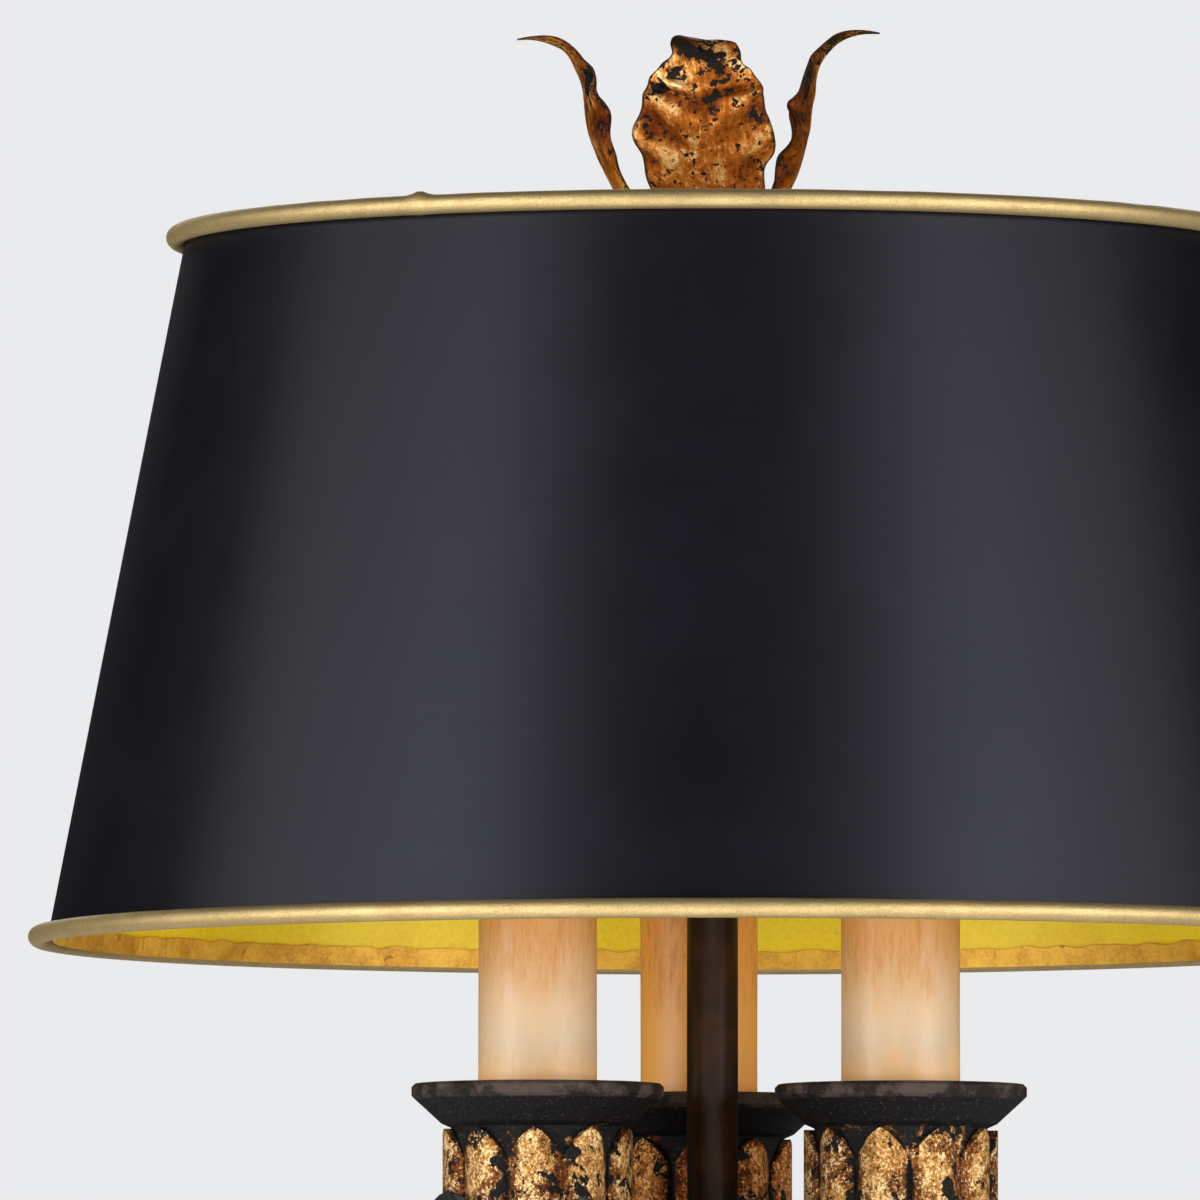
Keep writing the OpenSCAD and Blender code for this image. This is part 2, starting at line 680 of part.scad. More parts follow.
module lamp_socket(i) color("#2a2422") at_candle(i) translate([0, 0, socket_z]) difference() {
    cylinder(d = socket_d, h = socket_h);
    translate([0, 0, -past]) cylinder(d = nipple_d + 2 * fit_gap, h = nipple_grip + past);
    translate([0, 0, lamp_z - lamp_tip_h - run_gap - socket_z])
        cylinder(d = lamp_cap_d + 2 * run_gap, h = socket_h);
}

module candle_sleeve(i) color("#dcae7a") at_candle(i) translate([0, 0, sleeve_foot_z])
    ring(sleeve_d / 2, sleeve_d / 2 - sleeve_wall, sleeve_top_z - sleeve_foot_z);

// Lamps

cap_floor = 2;
cap_tip_d = lamp_cap_d * 0.4;
glass_wall = 0.8;
glass_steps = 12;
glass_neck_r = lamp_cap_d / 2 - fit_gap;
glass_belly_h = lamp_h * 0.36;
glass_low = [
    [glass_neck_r, 0], [glass_neck_r, glass_belly_h * 0.45],
    [lamp_d / 2, glass_belly_h * 0.45], [lamp_d / 2, glass_belly_h]];
glass_high = [
    [lamp_d / 2, glass_belly_h], [lamp_d / 2, lamp_h * 0.68],
    [lamp_d * 0.1, lamp_h * 0.8], [glass_wall * 1.5, lamp_h]];
function glass_out(k) = two_curves(glass_low, glass_high, k / (2 * glass_steps));

module lamp_cap(i) color("silver") at_candle(i) translate([0, 0, lamp_z]) {
    difference() {
        cylinder(d = lamp_cap_d, h = lamp_cap_h);
        translate([0, 0, cap_floor]) cylinder(r = glass_neck_r - glass_wall, h = lamp_cap_h);
    }
    translate([0, 0, -lamp_tip_h]) cylinder(d = cap_tip_d, h = lamp_tip_h);
}

module lamp_glass(i) color("white", 0.35) at_candle(i) translate([0, 0, glass_z])
    rotate_extrude() polygon(concat(
        [for (k = [0:2 * glass_steps]) glass_out(k)],
        [[0, lamp_h], [0, lamp_h - 3 * glass_wall]],
        [for (k = [2 * glass_steps - 1:-1:0]) glass_out(k) - [glass_wall, glass_wall * k / glass_steps]]));

filament_l = lamp_h * 0.42;
filament_circle_r = 3.2;
filament_r = 0.8;
filament_disc_r = filament_circle_r + filament_r + 0.5;
filament_disc_t = 1;
filament_foot = 8;
filament_post_r = 1.5;
filament_stem_r = 2.5;

module lamp_filament(i) color("khaki") at_candle(i) translate([0, 0, lamp_z + cap_floor]) {
    cap_room = lamp_cap_h - cap_floor;
    disc_z = cap_room + filament_foot - filament_disc_t;
    cylinder(r = filament_stem_r, h = cap_room);
    cylinder(r = filament_post_r, h = cap_room + filament_foot);
    translate([0, 0, disc_z]) cylinder(r = filament_disc_r, h = filament_disc_t);
    for (a = [45:90:315]) at_bearing(a, filament_circle_r) translate([0, 0, disc_z])
        cylinder(r = filament_r, h = filament_l);
    translate([0, 0, disc_z + filament_l]) cylinder(r = filament_disc_r, h = filament_disc_t);
}

// Shade

module shade_band(low, high, out, in) on_column() translate([0, 0, shade_z]) rotate_extrude() polygon([
    slope_point(low, out), slope_point(high, out), slope_point(high, in), slope_point(low, in)]);

module shade_skin() color("#1b1b20") shade_band(0, slope_l, card_out, card_in);

module shade_lining() color("#d8b63a") shade_band(0, slope_l, lining_out, lining_in);

module edge_bead(z, d) color("#b39a55") on_column() translate([0, 0, z])
    rotate_extrude() translate([d / 2 - bead_r, 0]) circle(d = bead_d);

module bottom_hem() color("#b5803f") on_column() translate([0, 0, shade_z]) rotate_extrude() polygon([
    slope_point(-layer_gap - hem_t, card_out), slope_point(-layer_gap, card_out),
    slope_point(-layer_gap, hem_out), slope_point(hem_w, hem_out),
    slope_point(hem_w, hem_in), slope_point(-layer_gap - hem_t, hem_in)]);

module top_hem() color("#b5803f") shade_band(slope_l - hem_w, slope_l, hem_out, hem_in);

arm_inset = 3;

module shade_spider() color("goldenrod") on_column() {
    wire_r = spider_wire_d / 2;
    hub_r = spider_hub_d / 2;
    start = [hub_r - arm_inset, spider_z + spider_hub_t / 2];
    finish = [shade_head[0], top_z + wire_r + run_gap];
    run = finish - start;
    translate([0, 0, spider_z]) ring(hub_r, stud_d / 2 + run_gap, spider_hub_t);
    for (k = [0:spider_arms - 1]) at_bearing(spider_turn + k * 360 / spider_arms, start[0])
        translate([0, 0, start[1]]) rotate([90 - atan2(run[1], run[0]), 0, 0])
            cylinder(r = wire_r, h = norm(run));
}

// Finial

module finial_seat() color("#9c7431") on_column() translate([0, 0, finial_z]) difference() {
    r = finial_seat_d / 2;
    rotate_extrude() polygon([
        [0, 0], [r, 0], [r, 1.5], [r * 0.62, 3], [finial_waist_r, finial_waist_h],
        [r * 0.7, finial_seat_h - 2.5], [r * 0.6, finial_seat_h - 1],
        [r * 0.3, finial_seat_h], [0, finial_seat_h]]);
    translate([0, 0, -past]) cylinder(r = stud_d / 2 + run_gap, h = stud_l + past + slip_gap);
}

// Midrib of a finial leaf, with heights above the top bead
finial_waist_r = finial_seat_d / 2 * 0.55;
finial_root = [finial_waist_r + finial_leaf_t / 2 - run_gap, finial_z - top_z + finial_waist_h];
finial_bend = [finial_spread * 0.303, finial_rise * 0.67];
finial_low = [
    finial_root, finial_root + [finial_spread * 0.085, finial_rise * 0.07],
    [finial_spread * 0.275, finial_rise * 0.33], finial_bend];
finial_high = [
    finial_bend, [finial_spread * 0.33, finial_rise * 0.92],
    [finial_spread * 0.39, finial_rise * 1.05], [finial_spread / 2, finial_rise * 0.985]];

// Half width along a finial leaf as a share of its width: two lobes and a pointed tip
finial_outline = [
    [0, 0.075], [0.15, 0.26], [0.28, 0.393], [0.325, 0.426], [0.37, 0.478], [0.4, 0.505], [0.43, 0.5],
    [0.465, 0.45], [0.5, 0.415], [0.53, 0.418], [0.57, 0.418], [0.6, 0.39], [0.64, 0.33], [0.68, 0.262],
    [0.71, 0.245], [0.76, 0.243], [0.82, 0.225], [0.87, 0.18], [0.92, 0.125], [0.96, 0.07], [1, 0.015]];
finial_skew = 0.015;
finial_fan = 0.72;
finial_flat = 2.1;
finial_sway_run = 10;
finial_folds = 2.5;
finial_ripple = 0.65;
finial_fold_start = 0.6;
finial_fold_run = 0.2;
finial_fold_share = 0.17;
finial_rows = 25;
finial_columns = 8;

// The lean moves the side leaves along their own line, and turns the front leaf
function finial_path(k, u) =
    let (p = two_curves(finial_low, finial_high, u),
         sway = max(0, min(1, (p[0] - finial_root[0]) / finial_sway_run)))
    [p[0] + finial_lean * sin(90 * k) * sway, p[1]];

function finial_bearing(k) = 90 * k + (k == 0 ? finial_lean / finial_bend[0] * 180 / PI : 0);

function finial_half(k, u, t) =
    min(finial_fan * finial_path(k, u)[0], finial_leaf_w * lookup(u + finial_skew * t, finial_outline));

function finial_lift(k, u, t) =
    let (ripple = finial_ripple * t * t * sin(180 * u) * sin(360 * finial_folds * u + 30),
         fold = max(0, min(1, (u - finial_fold_start) / finial_fold_run)))
    ripple - finial_fold_share * fold * abs(t) * (1 - 0.35 * t) * finial_half(k, u, t);

module finial_leaf(k) color("#9c6a2e") on_column() translate([0, 0, top_z]) rotate([0, 0, finial_bearing(k)])
    leaf(function(u) finial_path(k, u), function(u, t) finial_half(k, u, t),
         function(u, t) finial_lift(k, u, t), finial_flat, finial_leaf_t, finial_rows, finial_columns);

wall_strap();
strap_studs();
stud_nuts();
ground_screw();
terminal_block();
back_plate();
plate_bead();
arm_tube();
arm_collar();
arm_lock_nut();
wire_bushing();
stem_knop();
hub();
bowl();
bowl_leaves();
deck_spacer();
candle_deck();
rod_lock_nut();
centre_rod();
finial_stud();
spider_seat();
socket_nuts();
for (i = [1:3]) {
    candle_cup(i);
    socket_nipple(i);
    lamp_socket(i);
    candle_sleeve(i);
    lamp_cap(i);
    lamp_glass(i);
    lamp_filament(i);
}
shade_skin();  // shade_card
shade_lining();
edge_bead(shade_z, shade_bottom_d);  // bottom_bead
edge_bead(top_z, shade_top_d);  // top_bead
bottom_hem();
top_hem();
shade_spider();
finial_seat();
for (k = [0:3]) finial_leaf(k);
cap_nut(1);  // cap_nut_upper
cap_nut(-1);  // cap_nut_lower
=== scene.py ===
"""Looks of a wall light with three candles under a round shade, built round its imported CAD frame."""

import logging
import math
from dataclasses import dataclass, field
from enum import Enum
from functools import partial
from typing import Callable, Mapping, Protocol, Sequence, Union

import bmesh
import bpy
import numpy as np
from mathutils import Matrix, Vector


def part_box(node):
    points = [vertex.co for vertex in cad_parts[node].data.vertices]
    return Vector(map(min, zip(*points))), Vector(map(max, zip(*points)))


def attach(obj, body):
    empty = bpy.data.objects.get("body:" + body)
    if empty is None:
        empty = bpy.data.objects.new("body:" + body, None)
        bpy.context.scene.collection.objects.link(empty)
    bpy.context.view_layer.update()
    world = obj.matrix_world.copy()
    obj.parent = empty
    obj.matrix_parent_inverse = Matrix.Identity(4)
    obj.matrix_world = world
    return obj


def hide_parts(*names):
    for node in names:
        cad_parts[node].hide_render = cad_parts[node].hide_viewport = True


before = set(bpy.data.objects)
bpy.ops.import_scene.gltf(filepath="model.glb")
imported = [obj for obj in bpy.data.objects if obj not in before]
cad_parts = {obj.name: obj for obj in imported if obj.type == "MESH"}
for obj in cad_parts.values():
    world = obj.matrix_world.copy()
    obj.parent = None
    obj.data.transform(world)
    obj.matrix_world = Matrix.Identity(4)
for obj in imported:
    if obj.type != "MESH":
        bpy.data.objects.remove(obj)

log = logging.getLogger("wall_light")

Array = np.ndarray
Material = bpy.types.Material
Object = bpy.types.Object
Pair = tuple[float, float]
Triple = tuple[float, float, float]
Colour = Triple
Line = tuple[Pair, ...]
Shift = Callable[[Array, Array], Array]
Value = Union["Sig", float, int, Sequence[float]]

MM = 0.001
TURN = 2 * math.pi
CRISP_DEG = 50.0
RIM, ALONG, CREST = "rim", "along", "crest"


class Body(Enum):
    """The CAD bodies that pieces ride on."""

    BASE = "base"
    SHADE = "shade"
    FINIAL = "finial"
    LAMP_1 = "lamp_1"
    LAMP_2 = "lamp_2"
    LAMP_3 = "lamp_3"


class Bearing(Enum):
    """Where a finial leaf stands, counted in quarter turns from straight ahead."""

    FRONT = 0
    RIGHT = 1
    BACK = 2
    LEFT = 3


# Shader graphs


def math_operator(operation: str, swapped: bool = False) -> Callable[["Sig", Value], "Sig"]:
    """Makes one operator for Sig.

    Args:
        operation: The Math node's operation.
        swapped: Put the other value first, as a reflected operator does.

    Returns:
        The operator's method.
    """

    def apply(self: "Sig", other: Value) -> "Sig":
        """Adds a Math node."""
        first, second = (other, self) if swapped else (self, other)
        return self.graph.node("ShaderNodeMath", {"operation": operation}, {0: first, 1: second})

    return apply


class Sig:
    """A shader socket with arithmetic, so that node maths reads as plain maths."""

    def __init__(self, graph: "Graph", socket: bpy.types.NodeSocket) -> None:
        """Wraps an output socket of one of the graph's nodes."""
        self.graph = graph
        self.socket = socket

    __add__, __radd__ = math_operator("ADD"), math_operator("ADD", swapped=True)
    __sub__, __rsub__ = math_operator("SUBTRACT"), math_operator("SUBTRACT", swapped=True)
    __mul__, __rmul__ = math_operator("MULTIPLY"), math_operator("MULTIPLY", swapped=True)

    def size(self) -> "Sig":
        """Returns the value without its sign."""
        return self.graph.node("ShaderNodeMath", {"operation": "ABSOLUTE"}, {0: self})

    def ramp(self, low: float, high: float, to_low: float = 0.0, to_high: float = 1.0) -> "Sig":
        """Maps the value smoothly and clamped.

        Args:
            low: Value that becomes to_low.
            high: Value that becomes to_high.
            to_low: Result at low.
            to_high: Result at high.

        Returns:
            The mapped value.
        """
        return self.graph.node(
            "ShaderNodeMapRange",
            {"interpolation_type": "SMOOTHSTEP"},
            {"Value": self, "From Min": low, "From Max": high, "To Min": to_low, "To Max": to_high},
        )

    def mix(self, low: Value, high: Value) -> "Sig":
        """Returns a mix of two colours, from low where this value is 0 to high where it is 1."""
        return self.graph.node("ShaderNodeMix", {"data_type": "RGBA"}, {0: self, 6: low, 7: high}, 2)

    def stretched(self, by: Triple) -> "Sig":
        """Returns a vector with its components multiplied."""
        return self.graph.node("ShaderNodeVectorMath", {"operation": "MULTIPLY"}, {0: self, 1: by})

    def moved(self, by: Triple) -> "Sig":
        """Returns a vector with an offset added."""
        return self.graph.node("ShaderNodeVectorMath", {"operation": "ADD"}, {0: self, 1: by})

    def length(self) -> "Sig":
        """Returns a vector's length."""
        return self.graph.node("ShaderNodeVectorMath", {"operation": "LENGTH"}, {0: self}, 1)

    def part(self, axis: int) -> "Sig":
        """Returns one component of a vector."""
        return self.graph.node("ShaderNodeSeparateXYZ", {}, {0: self}, axis)


@dataclass(frozen=True)
class Grain:
    """One noise texture.

    Attributes:
        scale: Waves per metre.
        detail: Octaves.
        rough: Weight of the finer octaves.
        offset: Added to the place, so that two grains don't fall together.
        stretch: Multiplies the place. Below 1, the grain is drawn out along that axis.
    """

    scale: float
    detail: float
    rough: float
    offset: Triple = (0.0, 0.0, 0.0)
    stretch: Triple = (1.0, 1.0, 1.0)


class Graph:
    """The node tree of a material or of the world."""

    def __init__(self, owner: Union[Material, bpy.types.World]) -> None:
        """Empties the owner's node tree."""
        owner.use_nodes = True
        self.owner = owner
        self.tree = owner.node_tree
        self.tree.nodes.clear()

    @classmethod
    def start(cls, name: str) -> tuple["Graph", Sig]:
        """Returns a new material's graph, and the object's own coordinates in metres."""
        g = cls(bpy.data.materials.new(name))
        return g, g.node("ShaderNodeTexCoord", {}, {}, "Object")

    def node(self, kind: str, settings: Mapping[str, object], inputs: Mapping[Union[int, str], Value],
             out: Union[int, str] = 0) -> Sig:
        """Adds one node.

        Args:
            kind: Blender's node type.
            settings: Attributes of the node.
            inputs: Values or links, by socket index or name.
            out: Index or name of the output to return.

        Returns:
            The chosen output.
        """
        made = self.tree.nodes.new(kind)
        for key, value in settings.items():
            setattr(made, key, value)
        for key, value in inputs.items():
            socket = made.inputs[key]
            if isinstance(value, Sig):
                self.tree.links.new(value.socket, socket)
            else:
                opaque = socket.type == "RGBA" and len(value) == 3
                socket.default_value = (*value, 1.0) if opaque else value
        return Sig(self, made.outputs[out])

    def share(self) -> Sig:
        """Returns coordinates from 0 to 1 across the object's box."""
        return self.node("ShaderNodeTexCoord", {}, {}, "Generated")

    def value(self, name: str) -> Sig:
        """Returns a number that the mesh carries on its points."""
        return self.node("ShaderNodeAttribute", {"attribute_name": name}, {}, "Fac")

    def ray(self, kind: str) -> Sig:
        """Returns 1 for rays of that kind and 0 for others."""
        return self.node("ShaderNodeLightPath", {}, {}, kind)

    def noise(self, at: Sig, grain: Grain) -> Sig:
        """Adds a noise texture.

        Args:
            at: Coordinates in metres.
            grain: The texture's settings.

        Returns:
            The noise value, around 0.5.
        """
        if any(grain.offset):
            at = at.moved(grain.offset)
        if set(grain.stretch) != {1.0}:
            at = at.stretched(grain.stretch)
        return self.node("ShaderNodeTexNoise", {}, {
            "Vector": at, "Scale": grain.scale, "Detail": grain.detail, "Roughness": grain.rough})

    def bump(self, height: Sig, depth_mm: float, strength: float) -> Sig:
        """Adds a bump.

        Args:
            height: Height from 0 to 1.
            depth_mm: What a height of 1 stands for, in millimetres.
            strength: How much of the bump to use.

        Returns:
            The bent normal.
        """
        return self.node("ShaderNodeBump", {},
                         {"Height": height, "Distance": depth_mm * MM, "Strength": strength})

    def surface(self, **sockets: Value) -> Material:
        """Ends the graph in one Principled surface.

        Args:
            sockets: Inputs by name, with _ for a space.

        Returns:
            The finished material.
        """
        inputs = {key.replace("_", " "): value for key, value in sockets.items()}
        return self.close(self.node("ShaderNodeBsdfPrincipled", {}, inputs))

    def close(self, shader: Sig, kind: str = "ShaderNodeOutputMaterial") -> Union[Material, bpy.types.World]:
        """Links the last shader to a new output node, and returns the graph's owner."""
        self.tree.links.new(shader.socket, self.tree.nodes.new(kind).inputs["Surface"])
        return self.owner


# Finishes


class Finish(Protocol):
    """Something that makes a material."""

    def material(self) -> Material:
        """Returns a new material."""


def dimmed(colour: Colour, share: float) -> Colour:
    """Returns a colour times a share."""
    return tuple(share * part for part in colour)


@dataclass(frozen=True)
class TwoTone:
    """A finish of two colours, with a fine grain that also stands in relief and a broad one.

    Attributes:
        low: Colour where the grains are low.
        high: Colour where they are high.
        fine_share: Share of the fine grain in the change of colour. The broad one has the rest.
        change: Values of the grains between which the colour changes.
        relief: Depth of the fine grain in millimetres, and how much of it is used.
        rough_fine: Roughness that the fine grain adds.
        rough_broad: Roughness that the broad grain adds.
        rough_high: Roughness that the high colour adds.
        metallic: How metallic the low and the high colour are.
        gloss: Specular level.
    """

    name: str
    low: Colour
    high: Colour
    fine: Grain
    broad: Grain
    fine_share: float
    change: Pair
    relief: Pair
    roughness: float
    rough_fine: float
    rough_broad: float = 0.0
    rough_high: float = 0.0
    metallic: Pair = (0.0, 0.0)
    gloss: float = 0.5

    def material(self) -> Material:
        """Returns a new material."""
        g, at = Graph.start(self.name)
        fine, broad = g.noise(at, self.fine), g.noise(at, self.broad)
        tone = (fine * self.fine_share + broad * (1 - self.fine_share)).ramp(*self.change)
        grains = (fine - 0.5) * self.rough_fine + (broad - 0.5) * self.rough_broad
        even = self.metallic[0] == self.metallic[1]
        return g.surface(
            Base_Color=tone.mix(self.low, self.high),
            Metallic=self.metallic[0] if even else tone.ramp(0, 1, *self.metallic),
            Roughness=self.roughness + grains + tone * self.rough_high,
            Specular_IOR_Level=self.gloss,
            Normal=g.bump(fine, *self.relief),
        )


@dataclass(frozen=True)
class GoldCord(TwoTone):
    """Antique gold metallic paper rolled over a wire."""

    name: str = "bead_gold"
    low: Colour = (0.44, 0.31, 0.13)
    high: Colour = (0.62, 0.465, 0.218)
    fine: Grain = Grain(2600, 3, 0.7)
    broad: Grain = Grain(150, 4, 0.65)
    fine_share: float = 0.6
    change: Pair = (0.34, 0.64)
    relief: Pair = (0.14, 0.9)
    roughness: float = 0.5
    rough_fine: float = -0.3
    metallic: Pair = (0.8, 0.92)


@dataclass(frozen=True)
class Foil(TwoTone):
    """Bright yellow foil with a fine hammered grain."""

    name: str = "lining_foil"
    low: Colour = (0.9, 0.61, 0.011)
    high: Colour = (1.0, 0.76, 0.025)
    fine: Grain = Grain(900, 4, 0.65)
    broad: Grain = Grain(45, 3, 0.5)
    fine_share: float = 0.5
    change: Pair = (0.36, 0.62)
    relief: Pair = (0.12, 0.5)
    roughness: float = 0.42
    rough_fine: float = 0.2
    metallic: Pair = (0.1, 0.1)


@dataclass(frozen=True)
class Iron(TwoTone):
    """Satin black iron with a brown cast where it is worn."""

    name: str = "iron_black"
    low: Colour = (0.005, 0.0045, 0.0045)
    high: Colour = (0.024, 0.015, 0.010)
    fine: Grain = Grain(700, 4, 0.65)
    broad: Grain = Grain(90, 4, 0.6)
    fine_share: float = 0.4
    change: Pair = (0.45, 0.72)
    relief: Pair = (0.12, 0.45)
    roughness: float = 0.46
    rough_fine: float = 0.15
    rough_broad: float = 0.25
    gloss: float = 0.3


@dataclass(frozen=True)
class Metal(TwoTone):
    """Plain metal with fine scratches, whose high colour is its slight tarnish."""

    fine: Grain = Grain(1300, 3, 0.6)
    broad: Grain = Grain(160, 4, 0.6)
    fine_share: float = 0.3
    change: Pair = (0.4, 0.68)
    relief: Pair = (0.05, 0.4)
    roughness: float = 0.3
    rough_fine: float = 0.12
    rough_high: float = 0.2
    metallic: Pair = (1.0, 1.0)


@dataclass(frozen=True)
class Zinc(Metal):
    """Grey zinc plating of parts that mostly stay hidden."""

    low: Colour = (0.6, 0.6, 0.58)
    high: Colour = (0.42, 0.42, 0.4)
    roughness: float = 0.35


@dataclass(frozen=True)
class Moulding(TwoTone):
    """Moulded plastic or paint with a faint texture."""

    fine: Grain = Grain(1600, 2, 0.5)
    broad: Grain = Grain(120, 3, 0.5)
    fine_share: float = 0.0
    change: Pair = (0.35, 0.65)
    relief: Pair = (0.04, 0.35)
    roughness: float = 0.4
    rough_fine: float = 0.15

    @classmethod
    def of(cls, name: str, colour: Colour, roughness: float, dim: float = 0.88) -> "Moulding":
        """Returns a moulding of one colour, which is a little dimmer in places."""
        return cls(name, dimmed(colour, dim), colour, roughness=roughness)


@dataclass(frozen=True)
class ShadeCard:
    """Satin black card with a fine paper grain and faint streaks round the shade."""

    name: str = "shade_card_black"
    colour: Colour = (0.0030, 0.0030, 0.0048)
    depth: Pair = (0.8, 1.2)
    roughness: float = 0.39
    gloss: float = 0.235
    gloss_tint: Colour = (0.83, 0.85, 1.0)
    paper: Grain = Grain(5200, 2, 0.6)
    clouds: Grain = Grain(38, 4, 0.6)
    streaks: Grain = Grain(40, 3, 0.6, stretch=(1, 1, 30))
    relief: Pair = (0.035, 0.5)

    def material(self) -> Material:
        """Returns a new material."""
        g, at = Graph.start(self.name)
        grain, cloud, streak = (g.noise(at, kind) for kind in (self.paper, self.clouds, self.streaks))
        tint = (cloud * 0.6 + streak * 0.4).ramp(0.35, 0.65)
        return g.surface(
            Base_Color=tint.mix(*(dimmed(self.colour, share) for share in self.depth)),
            Roughness=self.roughness + (cloud - 0.5) * 0.12 + (grain - 0.5) * 0.1,
            Specular_IOR_Level=self.gloss,
            Specular_Tint=self.gloss_tint,
            Normal=g.bump(grain * 0.7 + streak * 0.3, *self.relief),
        )


@dataclass(frozen=True)
class GoldTape:
    """Orange-gold paper tape with worn spots, and creases whose lines are painted darker as shade."""

    name: str = "hem_tape"
    light: Colour = (1.0, 0.59, 0.074)
    dark: Colour = (0.68, 0.31, 0.028)
    crease_shade_dim: float = 0.7
    crease_half: float = 0.008
    metallic: float = 0.4
    roughness: float = 0.5
    paper: Grain = Grain(1400, 4, 0.7)
    rubs: Grain = Grain(120, 4, 0.65)
    folds: Grain = Grain(110, 2, 0.5, stretch=(1, 1, 0.3))
    creased: Grain = Grain(160, 2, 0.5, offset=(0.4, 0.7, 0.1))
    relief: Pair = (0.15, 0.5)

    def material(self) -> Material:
        """Returns a new material."""
        g, at = Graph.start(self.name)
        grain, rub, fold = (g.noise(at, kind) for kind in (self.paper, self.rubs, self.folds))
        where = g.noise(at, self.creased).ramp(0.52, 0.6)
        tone = (grain * 0.35 + rub * 0.65).ramp(0.36, 0.6)
        # Darker lines along the creases: painted shade in the folds.
        line = 1 - where * (fold - 0.5).size().ramp(0.0, self.crease_half, 1.0, 0.0)
        return g.surface(
            Base_Color=line.mix(dimmed(self.dark, self.crease_shade_dim), tone.mix(self.dark, self.light)),
            Metallic=self.metallic,
            Roughness=self.roughness + (0.5 - grain) * 0.3,
            Normal=g.bump(grain * 0.4 + line * 0.6, *self.relief),
        )


@dataclass(frozen=True)
class Wax:
    """Honey wax: brushed and streaked towards the top, pale in the middle, warm again at its foot. The
    darker, warmer top is partly the wax's own tone and partly painted shade under the shade, tinted by light
    from the lining.

    Attributes:
        foot_mm: Level of the foot, where the cup's rim is.
        foot_tall_mm: How far the warm foot reaches up.
        low_mm: Level up to which the wax is pale.
        high_mm: Level from which it has its full top colour.
        uneven_mm: How much these levels go up and down.
    """

    name: str = "sleeve_wax"
    pale: Colour = (0.70, 0.51, 0.345)
    # Top colour: partly the wax's own tone, partly painted shade under the shade with warm light from the
    # lining.
    honey_and_shade: Colour = (0.66, 0.31, 0.082)
    streak: Colour = (0.56, 0.21, 0.045)
    foot: Colour = (0.96, 0.53, 0.235)
    foot_mm: float = 122.7
    foot_tall_mm: float = 9.0
    low_mm: float = 126.0
    high_mm: float = 156.0
    uneven_mm: float = 16.0
    roughness: float = 0.42
    depth: float = 0.25
    depth_radius: Triple = (0.004, 0.002, 0.001)
    strokes: Grain = Grain(1300, 5, 0.75, stretch=(1, 1, 0.13))
    drifts: Grain = Grain(240, 4, 0.65, stretch=(1, 1, 0.25))
    specks: Grain = Grain(1500, 3, 0.6)
    relief: Pair = (0.1, 0.35)

    def material(self) -> Material:
        """Returns a new material."""
        g, at = Graph.start(self.name)
        brush, broad, speck = (g.noise(at, kind) for kind in (self.strokes, self.drifts, self.specks))
        level = at.part(2) + (broad - 0.5) * (self.uneven_mm * MM)
        # Darker and warmer upwards: partly the wax's own tone, partly painted shade under the shade.
        rise = level.ramp(self.low_mm * MM, self.high_mm * MM)
        warm = level.ramp(self.foot_mm * MM, (self.foot_mm + self.foot_tall_mm) * MM, 0.85, 0.0)
        body = warm.mix(rise.mix(self.pale, self.honey_and_shade), self.foot)
        marks = (brush * 0.7 + broad * 0.3).ramp(0.44, 0.62) * rise.ramp(0.3, 0.9, 0.06, 0.7)
        return g.surface(
            Base_Color=marks.mix(body, self.streak),
            Roughness=self.roughness + (speck - 0.5) * 0.2 + marks * 0.15,
            Subsurface_Weight=self.depth,
            Subsurface_Radius=self.depth_radius,
            Subsurface_Scale=1.0,
            Normal=g.bump(brush * 0.6 + speck * 0.4, *self.relief),
        )


